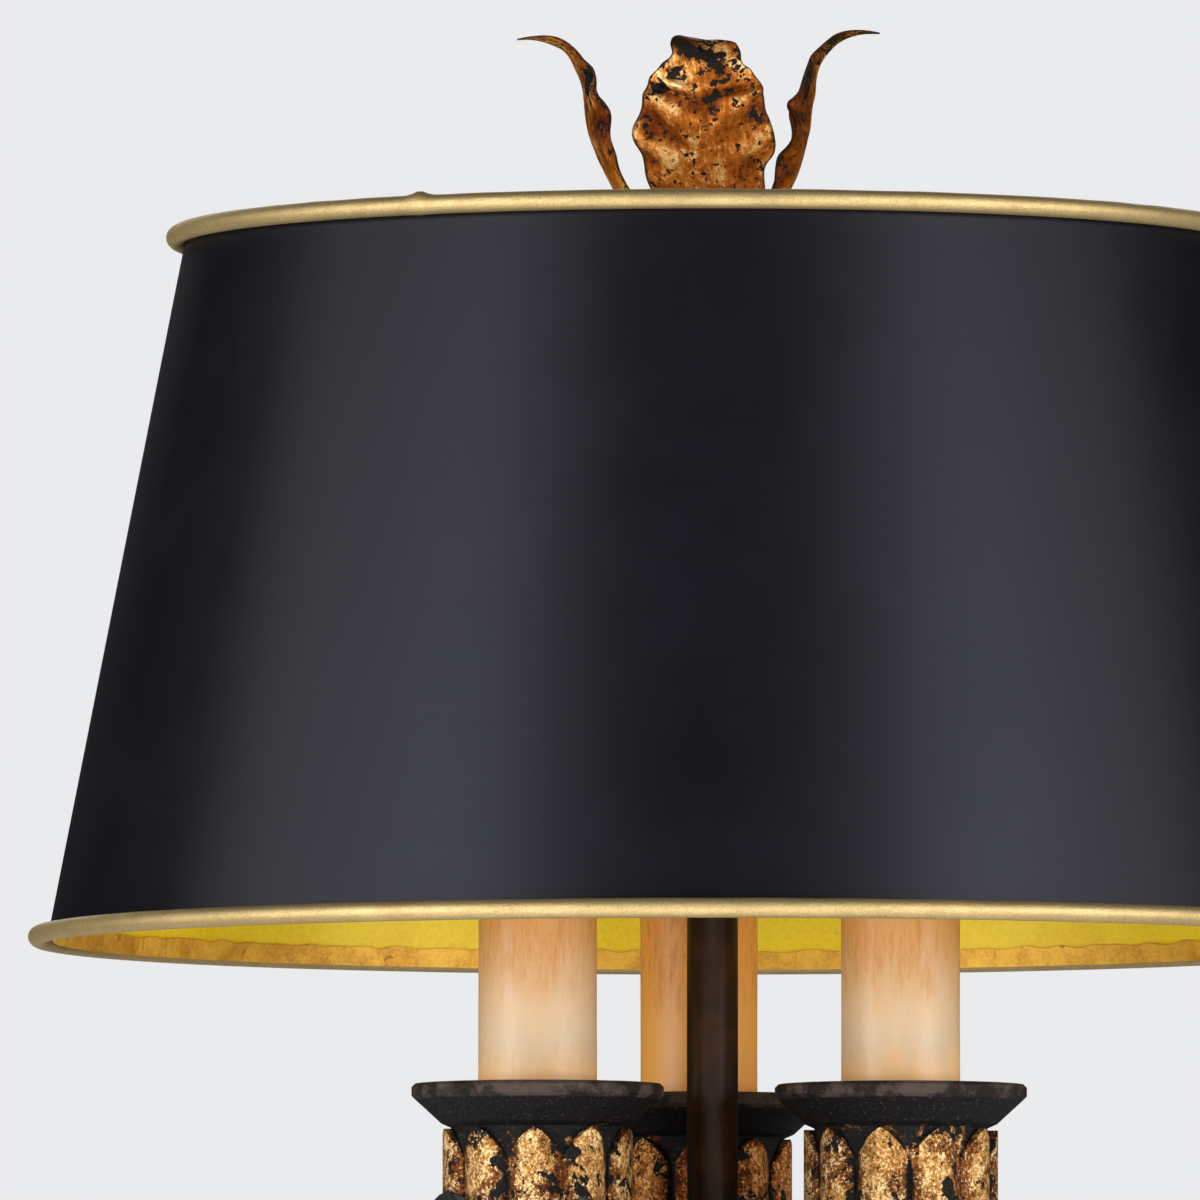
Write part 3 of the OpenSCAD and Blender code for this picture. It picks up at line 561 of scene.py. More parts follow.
@dataclass(frozen=True)
class LeafGilt:
    """Gold leaf over black: coppery, golden and pale patches, with flakes and specks gone. Crests are
    painted paler and more golden, as a highlight.

    Attributes:
        edge: Colour of the cut edge.
        flake: Flakes per metre.
        bare_low: How much gold has gone near the root.
        bare_high: How much has gone near the tip.
        speck: How many fine specks have gone.
        metal: How metallic the gold is.
        shelter: How much more gold is left on the crests than in the folds.
        crest: Added to the surface's height, for pieces whose mesh carries none.
    """

    name: str = "leaf_gilt"
    copper: Colour = (0.16, 0.034, 0.004)
    gold: Colour = (0.58, 0.178, 0.018)
    # Pale gold: partly random patches, partly a painted highlight on crests.
    pale: Colour = (0.95, 0.68, 0.28)
    black: Colour = (0.004, 0.0025, 0.0015)
    edge: Colour = (0.02, 0.008, 0.004)
    flake: float = 150.0
    bare_low: float = 0.37
    bare_high: float = 0.455
    speck: float = 0.385
    metal: float = 0.72
    shelter: float = 0.1
    crest: float = 0.0
    gloss: float = 0.2

    def tones(self, g: Graph, at: Sig, crest: Sig) -> tuple[Sig, Sig]:
        """Makes the colour of the gold, painted paler and more golden on crests as a highlight.

        Args:
            g: Graph to build in.
            at: Coordinates in metres.
            crest: Height of the surface, from 0 in a fold to 1 on a crest.

        Returns:
            Colour of the gold, and its fine crinkle.
        """
        hue = g.noise(at, Grain(self.flake * 1.1, 4, 0.65, offset=(0.9, 0.5, 0.2)))
        brush = g.noise(at, Grain(620, 4, 0.7, offset=(0.2, 0.4, 0.6), stretch=(1.6, 1.6, 0.55)))
        crinkle = g.noise(at, Grain(1900, 4, 0.75))
        # Gold against copper: random tone, with crests painted more golden as a highlight.
        gold_and_crest_light = (hue * 0.4 + brush * 0.35 + crest * 0.25).ramp(0.38, 0.56)
        # Pale patches: random, plus a painted highlight on crests.
        pale_and_crest_highlight = hue * 0.4 + brush * 0.22 + crinkle * 0.2 + crest * 0.18
        return pale_and_crest_highlight.ramp(0.5, 0.6).mix(gold_and_crest_light.mix(self.copper, self.gold), self.pale), crinkle

    def kept(self, g: Graph, at: Sig, along: Sig, crest: Sig) -> Sig:
        """Makes the share of gold that is left.

        Args:
            g: Graph to build in.
            at: Coordinates in metres.
            along: Place from root, 0, to tip, 1. More has gone towards the tip.
            crest: Height of the surface, from 0 in a fold to 1 on a crest. More has gone in the folds.

        Returns:
            1 where gold is left and 0 where it has gone.
        """
        big = g.noise(at, Grain(self.flake, 5, 0.68, offset=(0.013, 0.0, 0.004)))
        fine = g.noise(at, Grain(self.flake * 5.0, 3, 0.6, offset=(0.3, 0.1, 0.7)))
        gone = along.ramp(0.42, 0.62, self.bare_low, self.bare_high)
        patch = (big * 0.86 + fine * 0.14 + (crest - 0.5) * self.shelter - gone).ramp(0.0, 0.02)
        return patch * fine.ramp(self.speck - 0.02, self.speck + 0.02)

    def material(self) -> Material:
        """Returns a new material."""
        g, at = Graph.start(self.name)
        rim, along, crest = g.value(RIM), g.value(ALONG), g.value(CREST) + self.crest
        gold, crinkle = self.tones(g, at, crest)
        torn = g.noise(at, Grain(420, 4, 0.7, offset=(0.5, 0.2, 0.4)))
        left = (rim * 0.35 + torn).ramp(0.87, 0.91, 1.0, 0.0) * self.kept(g, at, along, crest)
        cut = rim.ramp(0.93, 0.99, 0.0, 0.8)
        crease = g.noise(at, Grain(300, 3, 0.6, stretch=(1, 1, 0.7)))
        return g.surface(
            Base_Color=cut.mix(left.mix(self.black, gold), self.edge),
            Metallic=left * self.metal,
            Roughness=left.ramp(0, 1, 0.5, 0.43) + (crinkle - 0.5) * 0.35,
            Specular_IOR_Level=self.gloss,
            Normal=g.bump(left * 0.25 + crinkle * 0.3 + crease * 0.9, 0.45, 0.85),
        )


@dataclass(frozen=True)
class CupIron(LeafGilt):
    """Black iron cup whose reeds carry worn and grainy gold leaf, with pale grains that are partly painted
    glints and a lip partly painted lighter as a highlight.

    Attributes:
        shadow: Colour of the gold's dark grains.
        iron: Colour of the bare iron.
        grit_and_glints: Colour of the iron's pale grains, partly texture and partly painted glints.
        lip_rub_and_highlight: Colour of the lip, partly worn and partly a painted highlight where light
            falls on it.
        across_mm: Width of the cup's box.
        tall_mm: Height of the cup's box.
        core_mm: Radius of the cup between its reeds.
        low_mm: Height at which the gold starts.
        top_mm: Height at which it ends.
        point_mm: Height at which the reeds' points start.
        lip_mm: Height at which the lip starts.
    """

    name: str = "cup_gilt"
    copper: Colour = (0.20, 0.060, 0.013)
    gold: Colour = (0.51, 0.245, 0.064)
    # Pale grains of the gold: partly texture, partly painted glints.
    pale: Colour = (0.96, 0.72, 0.36)
    shadow: Colour = (0.030, 0.011, 0.005)
    iron: Colour = (0.0026, 0.0023, 0.0023)
    grit_and_glints: Colour = (0.068, 0.060, 0.056)
    lip_rub_and_highlight: Colour = (0.070, 0.049, 0.041)
    flake: float = 190.0
    bare_low: float = 0.445
    bare_high: float = 0.445
    speck: float = 0.36
    metal: float = 0.75
    shelter: float = 0.04
    across_mm: float = 46.6
    tall_mm: float = 46.0
    core_mm: float = 16.0
    low_mm: float = 15.0
    top_mm: float = 37.7
    point_mm: float = 32.0
    lip_mm: float = 42.9

    def tones(self, g: Graph, at: Sig, crest: Sig) -> tuple[Sig, Sig]:
        """Makes the colour of the gold, which is grainy and differs from reed to reed. Its pale grains are
        partly painted glints, and the reeds are painted a little more golden than the grooves, as a
        highlight.

        Args:
            g: Graph to build in.
            at: Coordinates in metres.
            crest: Height of the surface, from 0 in a groove to 1 on a reed.

        Returns:
            Colour of the gold, and its fine crinkle.
        """
        reed = g.noise(at, Grain(85, 2, 0.5, offset=(0.3, 0.9, 0.1)))
        mottle = g.noise(at, Grain(420, 5, 0.75, offset=(0.7, 0.2, 0.5), stretch=(1, 1, 0.7)))
        crinkle = g.noise(at, Grain(1700, 4, 0.8))
        gold_and_crest_light = (reed * 0.6 + mottle * 0.25 + crest * 0.15).ramp(0.51, 0.58)
        grains = crinkle * 0.6 + mottle * 0.4
        worn = grains.ramp(0.4, 0.48, 0.85, 0.0).mix(gold_and_crest_light.mix(self.copper, self.gold), self.shadow)
        # Pale grains, partly texture and partly painted glints; reeds a little paler as a painted highlight.
        return (grains + crest * 0.03).ramp(0.53, 0.59).mix(worn, self.pale), crinkle

    def material(self) -> Material:
        """Returns a new material."""
        g, at = Graph.start(self.name)
        inside = g.share()
        radius = inside.moved((-0.5, -0.5, 0)).stretched((self.across_mm, self.across_mm, 0)).length()
        height = inside.part(2) * self.tall_mm
        crest = radius.ramp(self.core_mm + 0.4, self.core_mm + 2.0)
        gold, crinkle = self.tones(g, at, crest)
        torn = (g.noise(at, Grain(650, 3, 0.7)) - 0.5) * 1.8
        filled = g.noise(at, Grain(120, 3, 0.6, offset=(0.1, 0.6, 0.3))).ramp(0.5, 0.62)
        groove = filled * height.ramp(self.point_mm, self.point_mm + 2.0, 1.0, 0.6)
        reed = (radius + torn * 0.5 + groove).ramp(self.core_mm + 0.35, self.core_mm + 0.7)
        reach = (height + torn).ramp(self.top_mm, self.top_mm + 0.4, 1.0, 0.0)
        foot = (height + torn).ramp(self.low_mm, self.low_mm + 0.5)
        leafed = self.kept(g, at, crest, crest) * reed * reach * foot
        # Pale grains on the bare iron: partly texture, partly painted glints.
        grains = g.noise(at, Grain(1500, 4, 0.75))
        worn = g.noise(at, Grain(170, 5, 0.7, offset=(0.2, 0.1, 0.6))).ramp(0.42, 0.6, 0.1, 1.0)
        # Lighter lip: partly worn iron, partly a painted highlight on the lit lip.
        rub = height.ramp(self.lip_mm, self.lip_mm + 0.4) * worn
        black = rub.mix(grains.ramp(0.57, 0.69).mix(self.iron, self.grit_and_glints), self.lip_rub_and_highlight)
        return g.surface(
            Base_Color=leafed.mix(black, gold),
            Metallic=leafed * self.metal,
            Roughness=leafed.ramp(0, 1, 0.6, 0.42) + (crinkle - 0.5) * 0.4,
            Specular_IOR_Level=self.gloss,
            Normal=g.bump(leafed * 0.3 + crinkle * 0.6 + grains * 0.5, 0.5, 0.9),
        )


@dataclass(frozen=True)
class Sweep:
    """Pale matt floor, hardly clouded, which the camera sees nearly as pale as the background."""

    name: str = "floor_pale"
    colour: Colour = (0.80, 0.80, 0.81)
    dim: float = 0.98
    roughness: float = 0.9
    gloss: float = 0.1
    clouds: Grain = Grain(0.9, 2, 0.5)
    seen: Colour = (0.823, 0.831, 0.847)
    seen_share: float = 0.75

    def material(self) -> Material:
        """Returns a new material."""
        g, at = Graph.start(self.name)
        tone = g.noise(at, self.clouds).ramp(0.3, 0.7).mix(dimmed(self.colour, self.dim), self.colour)
        matt = g.node("ShaderNodeBsdfPrincipled", {}, {
            "Base Color": tone, "Roughness": self.roughness, "Specular IOR Level": self.gloss})
        pale = g.node("ShaderNodeEmission", {}, {"Color": self.seen, "Strength": 1.0})
        share = (g.ray("Is Camera Ray") + g.ray("Is Transmission Ray")) * self.seen_share
        return g.close(g.node("ShaderNodeMixShader", {}, {0: share, 1: matt, 2: pale}))


@dataclass(frozen=True)
class Glass:
    """Clear lamp glass with a breath of unevenness."""

    name: str = "lamp_glass"
    tint: Colour = (1.0, 0.99, 0.97)
    bending: float = 1.47
    waves: Grain = Grain(60, 2, 0.5)
    relief: Pair = (0.2, 0.15)

    def material(self) -> Material:
        """Returns a new material."""
        g, at = Graph.start(self.name)
        wave = g.noise(at, self.waves)
        return g.surface(
            Base_Color=self.tint,
            Roughness=wave.ramp(0.3, 0.7, 0.0, 0.03),
            IOR=self.bending,
            Transmission_Weight=1.0,
            Normal=g.bump(wave, *self.relief),
        )


# Forms


def link(name: str, data: bpy.types.ID) -> Object:
    """Returns a new object of the scene that shows a mesh, a lamp or a camera."""
    made = bpy.data.objects.new(name, data)
    bpy.context.scene.collection.objects.link(made)
    return made


class Forge:
    """Makes mesh objects from points in millimetres."""

    @staticmethod
    def _shown(name: str, work: bmesh.types.BMesh, data: bpy.types.Mesh, sharp_deg: float) -> Object:
        """Ends a working mesh.

        Args:
            name: The object's name.
            work: The working mesh, which is freed.
            data: The mesh to write.
            sharp_deg: Edges sharper than this stay crisp.

        Returns:
            The new object, linked to the scene.
        """
        work.to_mesh(data)
        work.free()
        data.shade_smooth()
        data.set_sharp_from_angle(angle=math.radians(sharp_deg))
        return link(name, data)

    @staticmethod
    def grid(name: str, points: Array, closed: bool, sharp_deg: float) -> Object:
        """Makes one closed skin from rings of points.

        Args:
            name: The object's name.
            points: Rings by points by 3, in millimetres. Each ring is closed.
            closed: Join the last ring to the first. If not, both get a face.
            sharp_deg: Edges sharper than this stay crisp.

        Returns:
            The new object, linked to the scene.
        """
        rows, columns = points.shape[:2]
        index = np.arange(rows * columns).reshape(rows, columns)
        here, there = index, np.roll(index, -1, axis=0)
        if not closed:
            here, there = here[:-1], there[:-1]
        corners = [here, np.roll(here, -1, axis=1), np.roll(there, -1, axis=1), there]
        faces = np.stack(corners, axis=2).reshape(-1, 4).tolist()
        if not closed:
            faces += [index[0].tolist(), index[-1][::-1].tolist()]
        data = bpy.data.meshes.new(name)
        data.from_pydata((points.reshape(-1, 3) * MM).tolist(), [], faces)
        work = bmesh.new()
        work.from_mesh(data)
        bmesh.ops.recalc_face_normals(work, faces=work.faces)
        return Forge._shown(name, work, data, sharp_deg)

    @staticmethod
    def lathe(name: str, profile: Array, centre: Pair, steps: int, shift: Shift | None = None) -> Object:
        """Turns a closed outline round an upright axis.

        Args:
            name: The object's name.
            profile: Outline points by 2, distance and height in millimetres.
            centre: The axis, in millimetres.
            steps: Points round the axis.
            shift: Takes bearings and the profile, and gives added distance and height for each.

        Returns:
            The new object, linked to the scene.
        """
        bearing = np.linspace(0, TURN, steps, endpoint=False)[:, None]
        ring = np.repeat(profile[None, :, :], steps, axis=0)
        if shift is not None:
            ring = ring + shift(bearing, profile)
        away, level = ring[:, :, 0], ring[:, :, 1]
        x, y = centre[0] + away * np.sin(bearing), centre[1] - away * np.cos(bearing)
        return Forge.grid(name, np.stack([x, y, level], axis=2), True, CRISP_DEG)

    @staticmethod
    def joined(name: str, parts: Sequence[Object]) -> Object:
        """Joins objects into one.

        Args:
            name: Name of the result.
            parts: Objects to join.

        Returns:
            The joined object.
        """
        work = bmesh.new()
        for part in parts:
            work.from_mesh(part.data)
            bpy.data.objects.remove(part)
        return Forge._shown(name, work, bpy.data.meshes.new(name), CRISP_DEG)


def bezier(points: Sequence[Sequence[float]], t: Array) -> Array:
    """Evaluates a cubic curve.

    Args:
        points: Four control points.
        t: Places from 0 to 1.

    Returns:
        One point for each place.
    """
    p = np.array(points, float)
    t = np.asarray(t, float)[:, None]
    s = 1 - t
    return s ** 3 * p[0] + 3 * s ** 2 * t * p[1] + 3 * s * t ** 2 * p[2] + t ** 3 * p[3]


def grown(value: Array, start: float, over: float, least: float = 0.0) -> Array:
    """Makes a straight slope up to 1.

    Args:
        value: Values to map.
        start: Value at which the slope leaves 0.
        over: Distance over which it reaches 1, below 0 for a slope towards lower values.
        least: Lowest result.

    Returns:
        The mapped values.
    """
    return np.clip((value - start) / over, least, 1)


def turn_from(bearing: Array, ahead: float) -> Array:
    """Returns the shortest turn from a bearing, in radians and with its sign."""
    return (bearing - ahead + math.pi) % TURN - math.pi


def wobble(angle: Array, seed: int, first: int, last: int) -> Array:
    """Makes a closed wavy line from sines.

    Args:
        angle: Bearings in radians.
        seed: Seed of the random phases.
        first: Lowest number of waves.
        last: Highest number of waves.

    Returns:
        Values of about -1 to 1.
    """
    dice = np.random.default_rng(seed)
    total = np.zeros_like(angle)
    for waves in range(first, last + 1):
        total = total + dice.normal() * np.sin(waves * angle + dice.uniform(0, TURN))
    return total / math.sqrt(last - first + 1)


@dataclass(frozen=True)
class LeafForm:
    """A leaf that wraps round an upright axis, on the same lines as its CAD solid.

    Attributes:
        path: Midrib's distance and height for places from root to tip.
        half: Half width round the curve, for places along and across.
        lift: How far the blade ripples outwards, for places along and across.
        thick: Thickness in millimetres.
        flat: Radius of the wrap as a share of the distance from the axis.
        rows: Points along.
        columns: Points across.
        relief: Depth of the ripple, from the deepest fold to the highest crest.
        edge_power: How late the blade thins towards its edge.
        edge_least: Square of the thickness that is left at the edge.
        tip_share: Share of the length over which the tip thins.
        tip_least: Share of the thickness that is left at the tip.
        sharp_deg: Edges sharper than this stay crisp.
    """

    path: Callable[[Array], Array]
    half: Shift
    lift: Shift
    thick: float
    flat: float
    rows: int
    columns: int
    relief: float = 2.4
    edge_power: int = 6
    edge_least: float = 0.04
    tip_share: float = 0.15
    tip_least: float = 0.35
    sharp_deg: float = 75.0

    def build(self, name: str, centre: Pair, bearing_deg: float) -> Object:
        """Makes the leaf.

        Args:
            name: The object's name.
            centre: The axis, in millimetres.
            bearing_deg: Where the leaf stands, from straight ahead.

        Returns:
            The new object.
        """
        u = np.linspace(0, 1, self.rows)[:, None]
        mid = self.path(u[:, 0])
        run = np.gradient(mid, axis=0)
        out = np.stack([run[:, 1], -run[:, 0]], axis=1) / np.linalg.norm(run, axis=1)[:, None]
        across = np.linspace(-1, 1, self.columns)
        t = np.concatenate([across, across[::-1]])[None, :]
        side = np.repeat([1.0, -1.0], self.columns)
        edge = np.sqrt(np.clip(1 - np.abs(t) ** self.edge_power, self.edge_least, 1))
        skin = side * edge * self.thick / 2 * grown(u, 1, -self.tip_share, self.tip_least)
        ripple = self.lift(u, t)
        rise = ripple + skin
        wrap = self.flat * mid[:, :1]
        angle = t * self.half(u, t) / wrap
        r, z = wrap + out[:, :1] * rise, mid[:, 1:] + out[:, 1:] * rise
        beside, ahead = r * np.sin(angle), mid[:, :1] - wrap + r * np.cos(angle)
        sine, cosine = math.sin(math.radians(bearing_deg)), math.cos(math.radians(bearing_deg))
        x = centre[0] + beside * cosine + ahead * sine
        y = centre[1] + beside * sine - ahead * cosine
        made = Forge.grid(name, np.stack([x, y, z], axis=2), False, self.sharp_deg)
        crest = np.clip(0.5 + ripple / self.relief, 0, 1)
        for key, values in ((RIM, np.abs(t)), (ALONG, u), (CREST, crest)):
            carried = np.broadcast_to(values, z.shape).ravel().astype(np.float32)
            made.data.attributes.new(key, "FLOAT", "POINT").data.foreach_set("value", carried)
        return made


# Layout read from the CAD frame


def box_mm(node: str) -> tuple[Array, Array]:
    """Returns the lowest and the highest corner of a node's box, in millimetres."""
    low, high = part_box(node)
    return np.array(low) / MM, np.array(high) / MM


def middle(node: str) -> Pair:
    """Returns the middle of a node's box, seen from above, in millimetres."""
    low, high = box_mm(node)
    return float((low[0] + high[0]) / 2), float((low[1] + high[1]) / 2)


def span(node: str) -> Pair:
    """Returns a node's lowest and highest level in millimetres."""
    low, high = box_mm(node)
    return float(low[2]), float(high[2])


@dataclass(frozen=True)
class Layout:
    """Where the column and the shade stand, in millimetres.

    Attributes:
        column: The column's axis, seen from above.
        shade_z: Level of the bottom bead's middle.
        top_z: Level of the top bead's middle.
        bottom_r: Radius to the bottom bead's middle.
        top_r: Radius to the top bead's middle.
        bead_r: Radius of the beads themselves.
    """

    column: Pair
    shade_z: float
    top_z: float
    bottom_r: float
    top_r: float
    bead_r: float

    @classmethod
    def read(cls) -> "Layout":
        """Returns the layout of the loaded frame."""
        column = middle("centre_rod")
        low, high = box_mm("bottom_bead")
        bead_r = float(high[2] - low[2]) / 2
        return cls(
            column=column,
            shade_z=sum(span("bottom_bead")) / 2,
            top_z=sum(span("top_bead")) / 2,
            bottom_r=float(high[0] - low[0]) / 2 - bead_r,
            top_r=float(box_mm("top_bead")[1][0]) - column[0] - bead_r,
            bead_r=bead_r,
        )


def wear(data: bpy.types.Mesh, finish: Material) -> None:
    """Gives a mesh one material."""
    data.materials.clear()
    data.materials.append(finish)


def settle(piece: Object, body: Body, finish: Material, node: str) -> None:
    """Gives a new piece its finish and its body, and hides the CAD node that it stands for.

    Args:
        piece: The new piece.
        body: CAD body that it rides on.
        finish: Its material.
        node: CAD node that it stands for.
    """
    wear(piece.data, finish)
    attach(piece, body.value)
    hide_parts(node)
    log.info("piece %s on %s, stands for %s", piece.name, body.value, node)


def dress_nodes(finish: Finish, *names: str) -> None:
    """Gives CAD nodes one material.

    Args:
        finish: Their finish.
        names: The nodes' names.
    """
    made = finish.material()
    for name in names:
        wear(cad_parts[name].data, made)
        log.info("node %s wears %s", name, made.name)


# Sub-assemblies


@dataclass
class Shade:
    """The tapered card shade with its lining, beads, hems and spider.

    Attributes:
        steps: Points round the card and the lining.
        band_rows: Points up the card and the lining.
        gap: Room between two layers.
        lap_rise: How far the card stands out where its two ends overlap at the back.
        lap_half: Half the overlap, in radians.
        lap_steep: How steep the overlap's edge is.
        roll_points: Points round a bead's roll.
        swell: Unevenness of the roll: size, and least and greatest number of waves.
        swell_out: Share of the swelling that also goes outwards.
        swell_least: Share of it that is left on the roll's underside.
        arm_bearings: Where the spider's arms end, in degrees.
        arm_bump: Height of the bump over an arm's end.
        arm_half: Half width of that bump.
        hem: Width of the tape inside the shade.
        tears: Long and short tears of its free edge: size, and least and greatest number of waves.
        tear_limits: How far the tears go in and out.
        pleats: Least and greatest number of waves of the pleats.
        pleat_least: Waves lower than this make no pleat.
        pleat_deep: Depth of a pleat.
    """

    layout: Layout
    steps: int = 288
    band_rows: int = 12
    card: float = 0.8
    lining: float = 0.3
    tape: float = 0.3
    gap: float = 0.05
    lap_rise: float = 0.25
    lap_half: float = 0.055
    lap_steep: float = 320.0
    roll_points: int = 20
    swell: tuple[float, int, int] = (0.02, 11, 60)
    swell_out: float = 0.3
    swell_least: float = 0.15
    arm_bearings: tuple[float, ...] = (-36.0, 84.0, 204.0)
    arm_bump: float = 0.75
    arm_half: float = 1.7
    hem: float = 3.2
    hem_rows: int = 8
    tears: tuple[tuple[float, int, int], ...] = ((0.16, 9, 40), (0.2, 60, 130))
    tear_limits: Pair = (-0.9, 0.8)
    pleats: tuple[int, int] = (20, 48)
    pleat_least: float = 1.2
    pleat_deep: float = 0.2
    made: dict[str, Object] = field(default_factory=dict)

    def _point(self, along: Array, depth: Array) -> Array:
        """Finds points of the shade's section.

        Args:
            along: Distances up the slope from the bottom bead's middle.
            depth: Distances inwards from the line through the beads' middles.

        Returns:
            Distance from the axis and level of each point.
        """
        foot = np.array([self.layout.bottom_r, self.layout.shade_z])
        head = np.array([self.layout.top_r, self.layout.top_z])
        ahead = (head - foot) / np.linalg.norm(head - foot)
        inwards = np.array([-ahead[1], ahead[0]])
        return foot + along[:, None] * ahead + depth[:, None] * inwards

    @property
    def slope(self) -> float:
        """Length of the shade's side, from bead to bead."""
        rise = self.layout.top_z - self.layout.shade_z
        return math.hypot(self.layout.bottom_r - self.layout.top_r, rise)

    def _band(self, out: float, thick: float) -> Array:
        """Makes the outline of a layer from bead to bead.

        Args:
            out: Depth of its outside.
            thick: Its thickness.

        Returns:
            The closed outline.
        """
        up = np.linspace(0, self.slope, self.band_rows)
        depth = np.repeat([out, out + thick], self.band_rows)
        return self._point(np.concatenate([up, up[::-1]]), depth)

    def _lap(self, bearing: Array, profile: Array) -> Array:
        """Lifts the card a little where its two ends overlap at the back.

        Args:
            bearing: Bearings in radians.
            profile: The card's outline.

        Returns:
            Added distance and height.
        """
        reach = np.abs(turn_from(bearing, math.pi))
        rise = self.lap_rise / 2 * (1 - np.tanh((reach - self.lap_half) * self.lap_steep / 2))
        return np.stack(np.broadcast_arrays(rise, np.zeros((1, len(profile)))), axis=2)

    def build(self) -> None:
        """Makes the shade's pieces."""
        place = self.layout
        out = place.bead_r + self.gap
        inner = out + self.card + self.gap
        self.made["shade_card"] = Forge.lathe(
            "shade_card_form", self._band(out, self.card), place.column, self.steps, self._lap)
        self.made["shade_lining"] = Forge.lathe(
            "shade_lining_form", self._band(inner, self.lining), place.column, self.steps)
        self.made["bottom_bead"] = self._bead("bottom_bead_form", place.bottom_r, place.shade_z, 3, ())
        self.made["top_bead"] = self._bead("top_bead_form", place.top_r, place.top_z, 8, self.arm_bearings)
        self.made["bottom_hem"] = self._tape("bottom_hem_form", 0.0, 1, 5, self.gap + self.tape)
        self.made["top_hem"] = self._tape("top_hem_form", self.slope, -1, 6, 0.0)

    def _bead(self, name: str, radius: float, level: float, seed: int, arms: Sequence[float]) -> Object:
        """Makes one rolled bead.

        Args:
            name: The object's name.
            radius: Distance of its middle from the axis.
            level: Level of its middle.
            seed: Seed of its unevenness.
            arms: Bearings of the spider's arms that end in it, in degrees.

        Returns:
            The new object.
        """
        around = np.linspace(0, TURN, self.roll_points, endpoint=False)
        outwards, upwards = np.cos(around), np.sin(around)
        roll = self.layout.bead_r
        profile = np.stack([radius + roll * outwards, level + roll * upwards], axis=1)
        rising = upwards * np.clip(upwards, self.swell_least, 1)

        def lumps(bearing: Array, outline: Array) -> Array:
            """Swells the roll unevenly, and over the ends of the spider's arms."""
            size, first, last = self.swell
            swell = size * wobble(bearing, seed, first, last)
            for arm in arms:
                off = turn_from(bearing, math.radians(arm)) * radius / self.arm_half
                swell = swell + self.arm_bump * np.exp(-(off ** 2))
            return np.stack([swell * outwards * self.swell_out, swell * rising], axis=2)

        return Forge.lathe(name, profile, self.layout.column, self.steps * 2, lumps)

    def _tape(self, name: str, start: float, way: int, seed: int, past: float) -> Object:
        """Makes one hem of tape.

        Args:
            name: The object's name.
            start: Place of the shade's edge along its slope.
            way: 1 for a tape that goes up from there, -1 for one that goes down.
            seed: Seed of its tears and pleats.
            past: How far it reaches past the edge.

        Returns:
            The new object.
        """
        out = self.layout.bead_r + self.card + self.lining + 3 * self.gap
        up = np.linspace(-past, self.hem, self.hem_rows)
        along = np.concatenate([up, up[::-1]])
        inner = np.repeat([0.0, 1.0], self.hem_rows)
        profile = self._point(start + way * along, out + self.tape * inner)
        free = np.clip(along / self.hem, 0, 1) ** 2

        def torn(bearing: Array, outline: Array) -> Array:
            """Tears the tape's free edge and folds small pleats into it."""
            ragged = sum(size * wobble(bearing, seed + 50 * k, first, last)
                         for k, (size, first, last) in enumerate(self.tears))
            pleat = np.clip(wobble(bearing, seed + 90, *self.pleats) - self.pleat_least, 0, 1)
            height = way * np.clip(ragged, *self.tear_limits) * free
            return np.stack([-self.pleat_deep * pleat * inner, height], axis=2)

        return Forge.lathe(name, profile, self.layout.column, self.steps * 3, torn)

    def dress(self) -> None:
        """Gives the shade's pieces their finishes."""
        dressing: tuple[tuple[Finish, str, tuple[str, ...]], ...] = (
            (ShadeCard(), "black_card", ("shade_card",)),
            (Foil(), "gold_foil", ("shade_lining",)),
            (GoldCord(), "gold_cord", ("bottom_bead", "top_bead")),
            (GoldTape(), "gold_tape", ("bottom_hem", "top_hem")),
        )
        for finish, slot, nodes in dressing:
            made = finish.material()
            for node in nodes:
                settle(self.made[node], Body.SHADE, made, node)
        brass = Metal("spider_brass", (0.60, 0.42, 0.16), (0.38, 0.24, 0.08), roughness=0.32)
        dress_nodes(brass, "shade_spider")


@dataclass(frozen=True)
class LeafCut:
    """How one finial leaf was cut and bent by hand.

    Attributes:
        lower: Curve of the midrib from the seat to the bend: distance and height above the top bead.
        upper: Curve from the bend to the tip.
        curl: How far the edge rolls inwards, for places along.
        folds: Depth of the slanting folds on the left and the right half.
        gutter: How steeply the left and the right half rise beside the midrib at the tip.
        turn: Bearing from the leaf's quarter, in degrees.
        wide: Width as a share of the other leaves'.
        pace: Even share of the steps along the upper curve. The rest are kept for the tip.
    """

    lower: Line
    upper: Line
    curl: Line = ((0.0, 0.0), (1.0, 0.0))
    folds: Pair = (0.2, 0.2)
    gutter: Pair = (0.0, 0.0)
    turn: float = 0.0
    wide: float = 1.0
    pace: float = 1.0


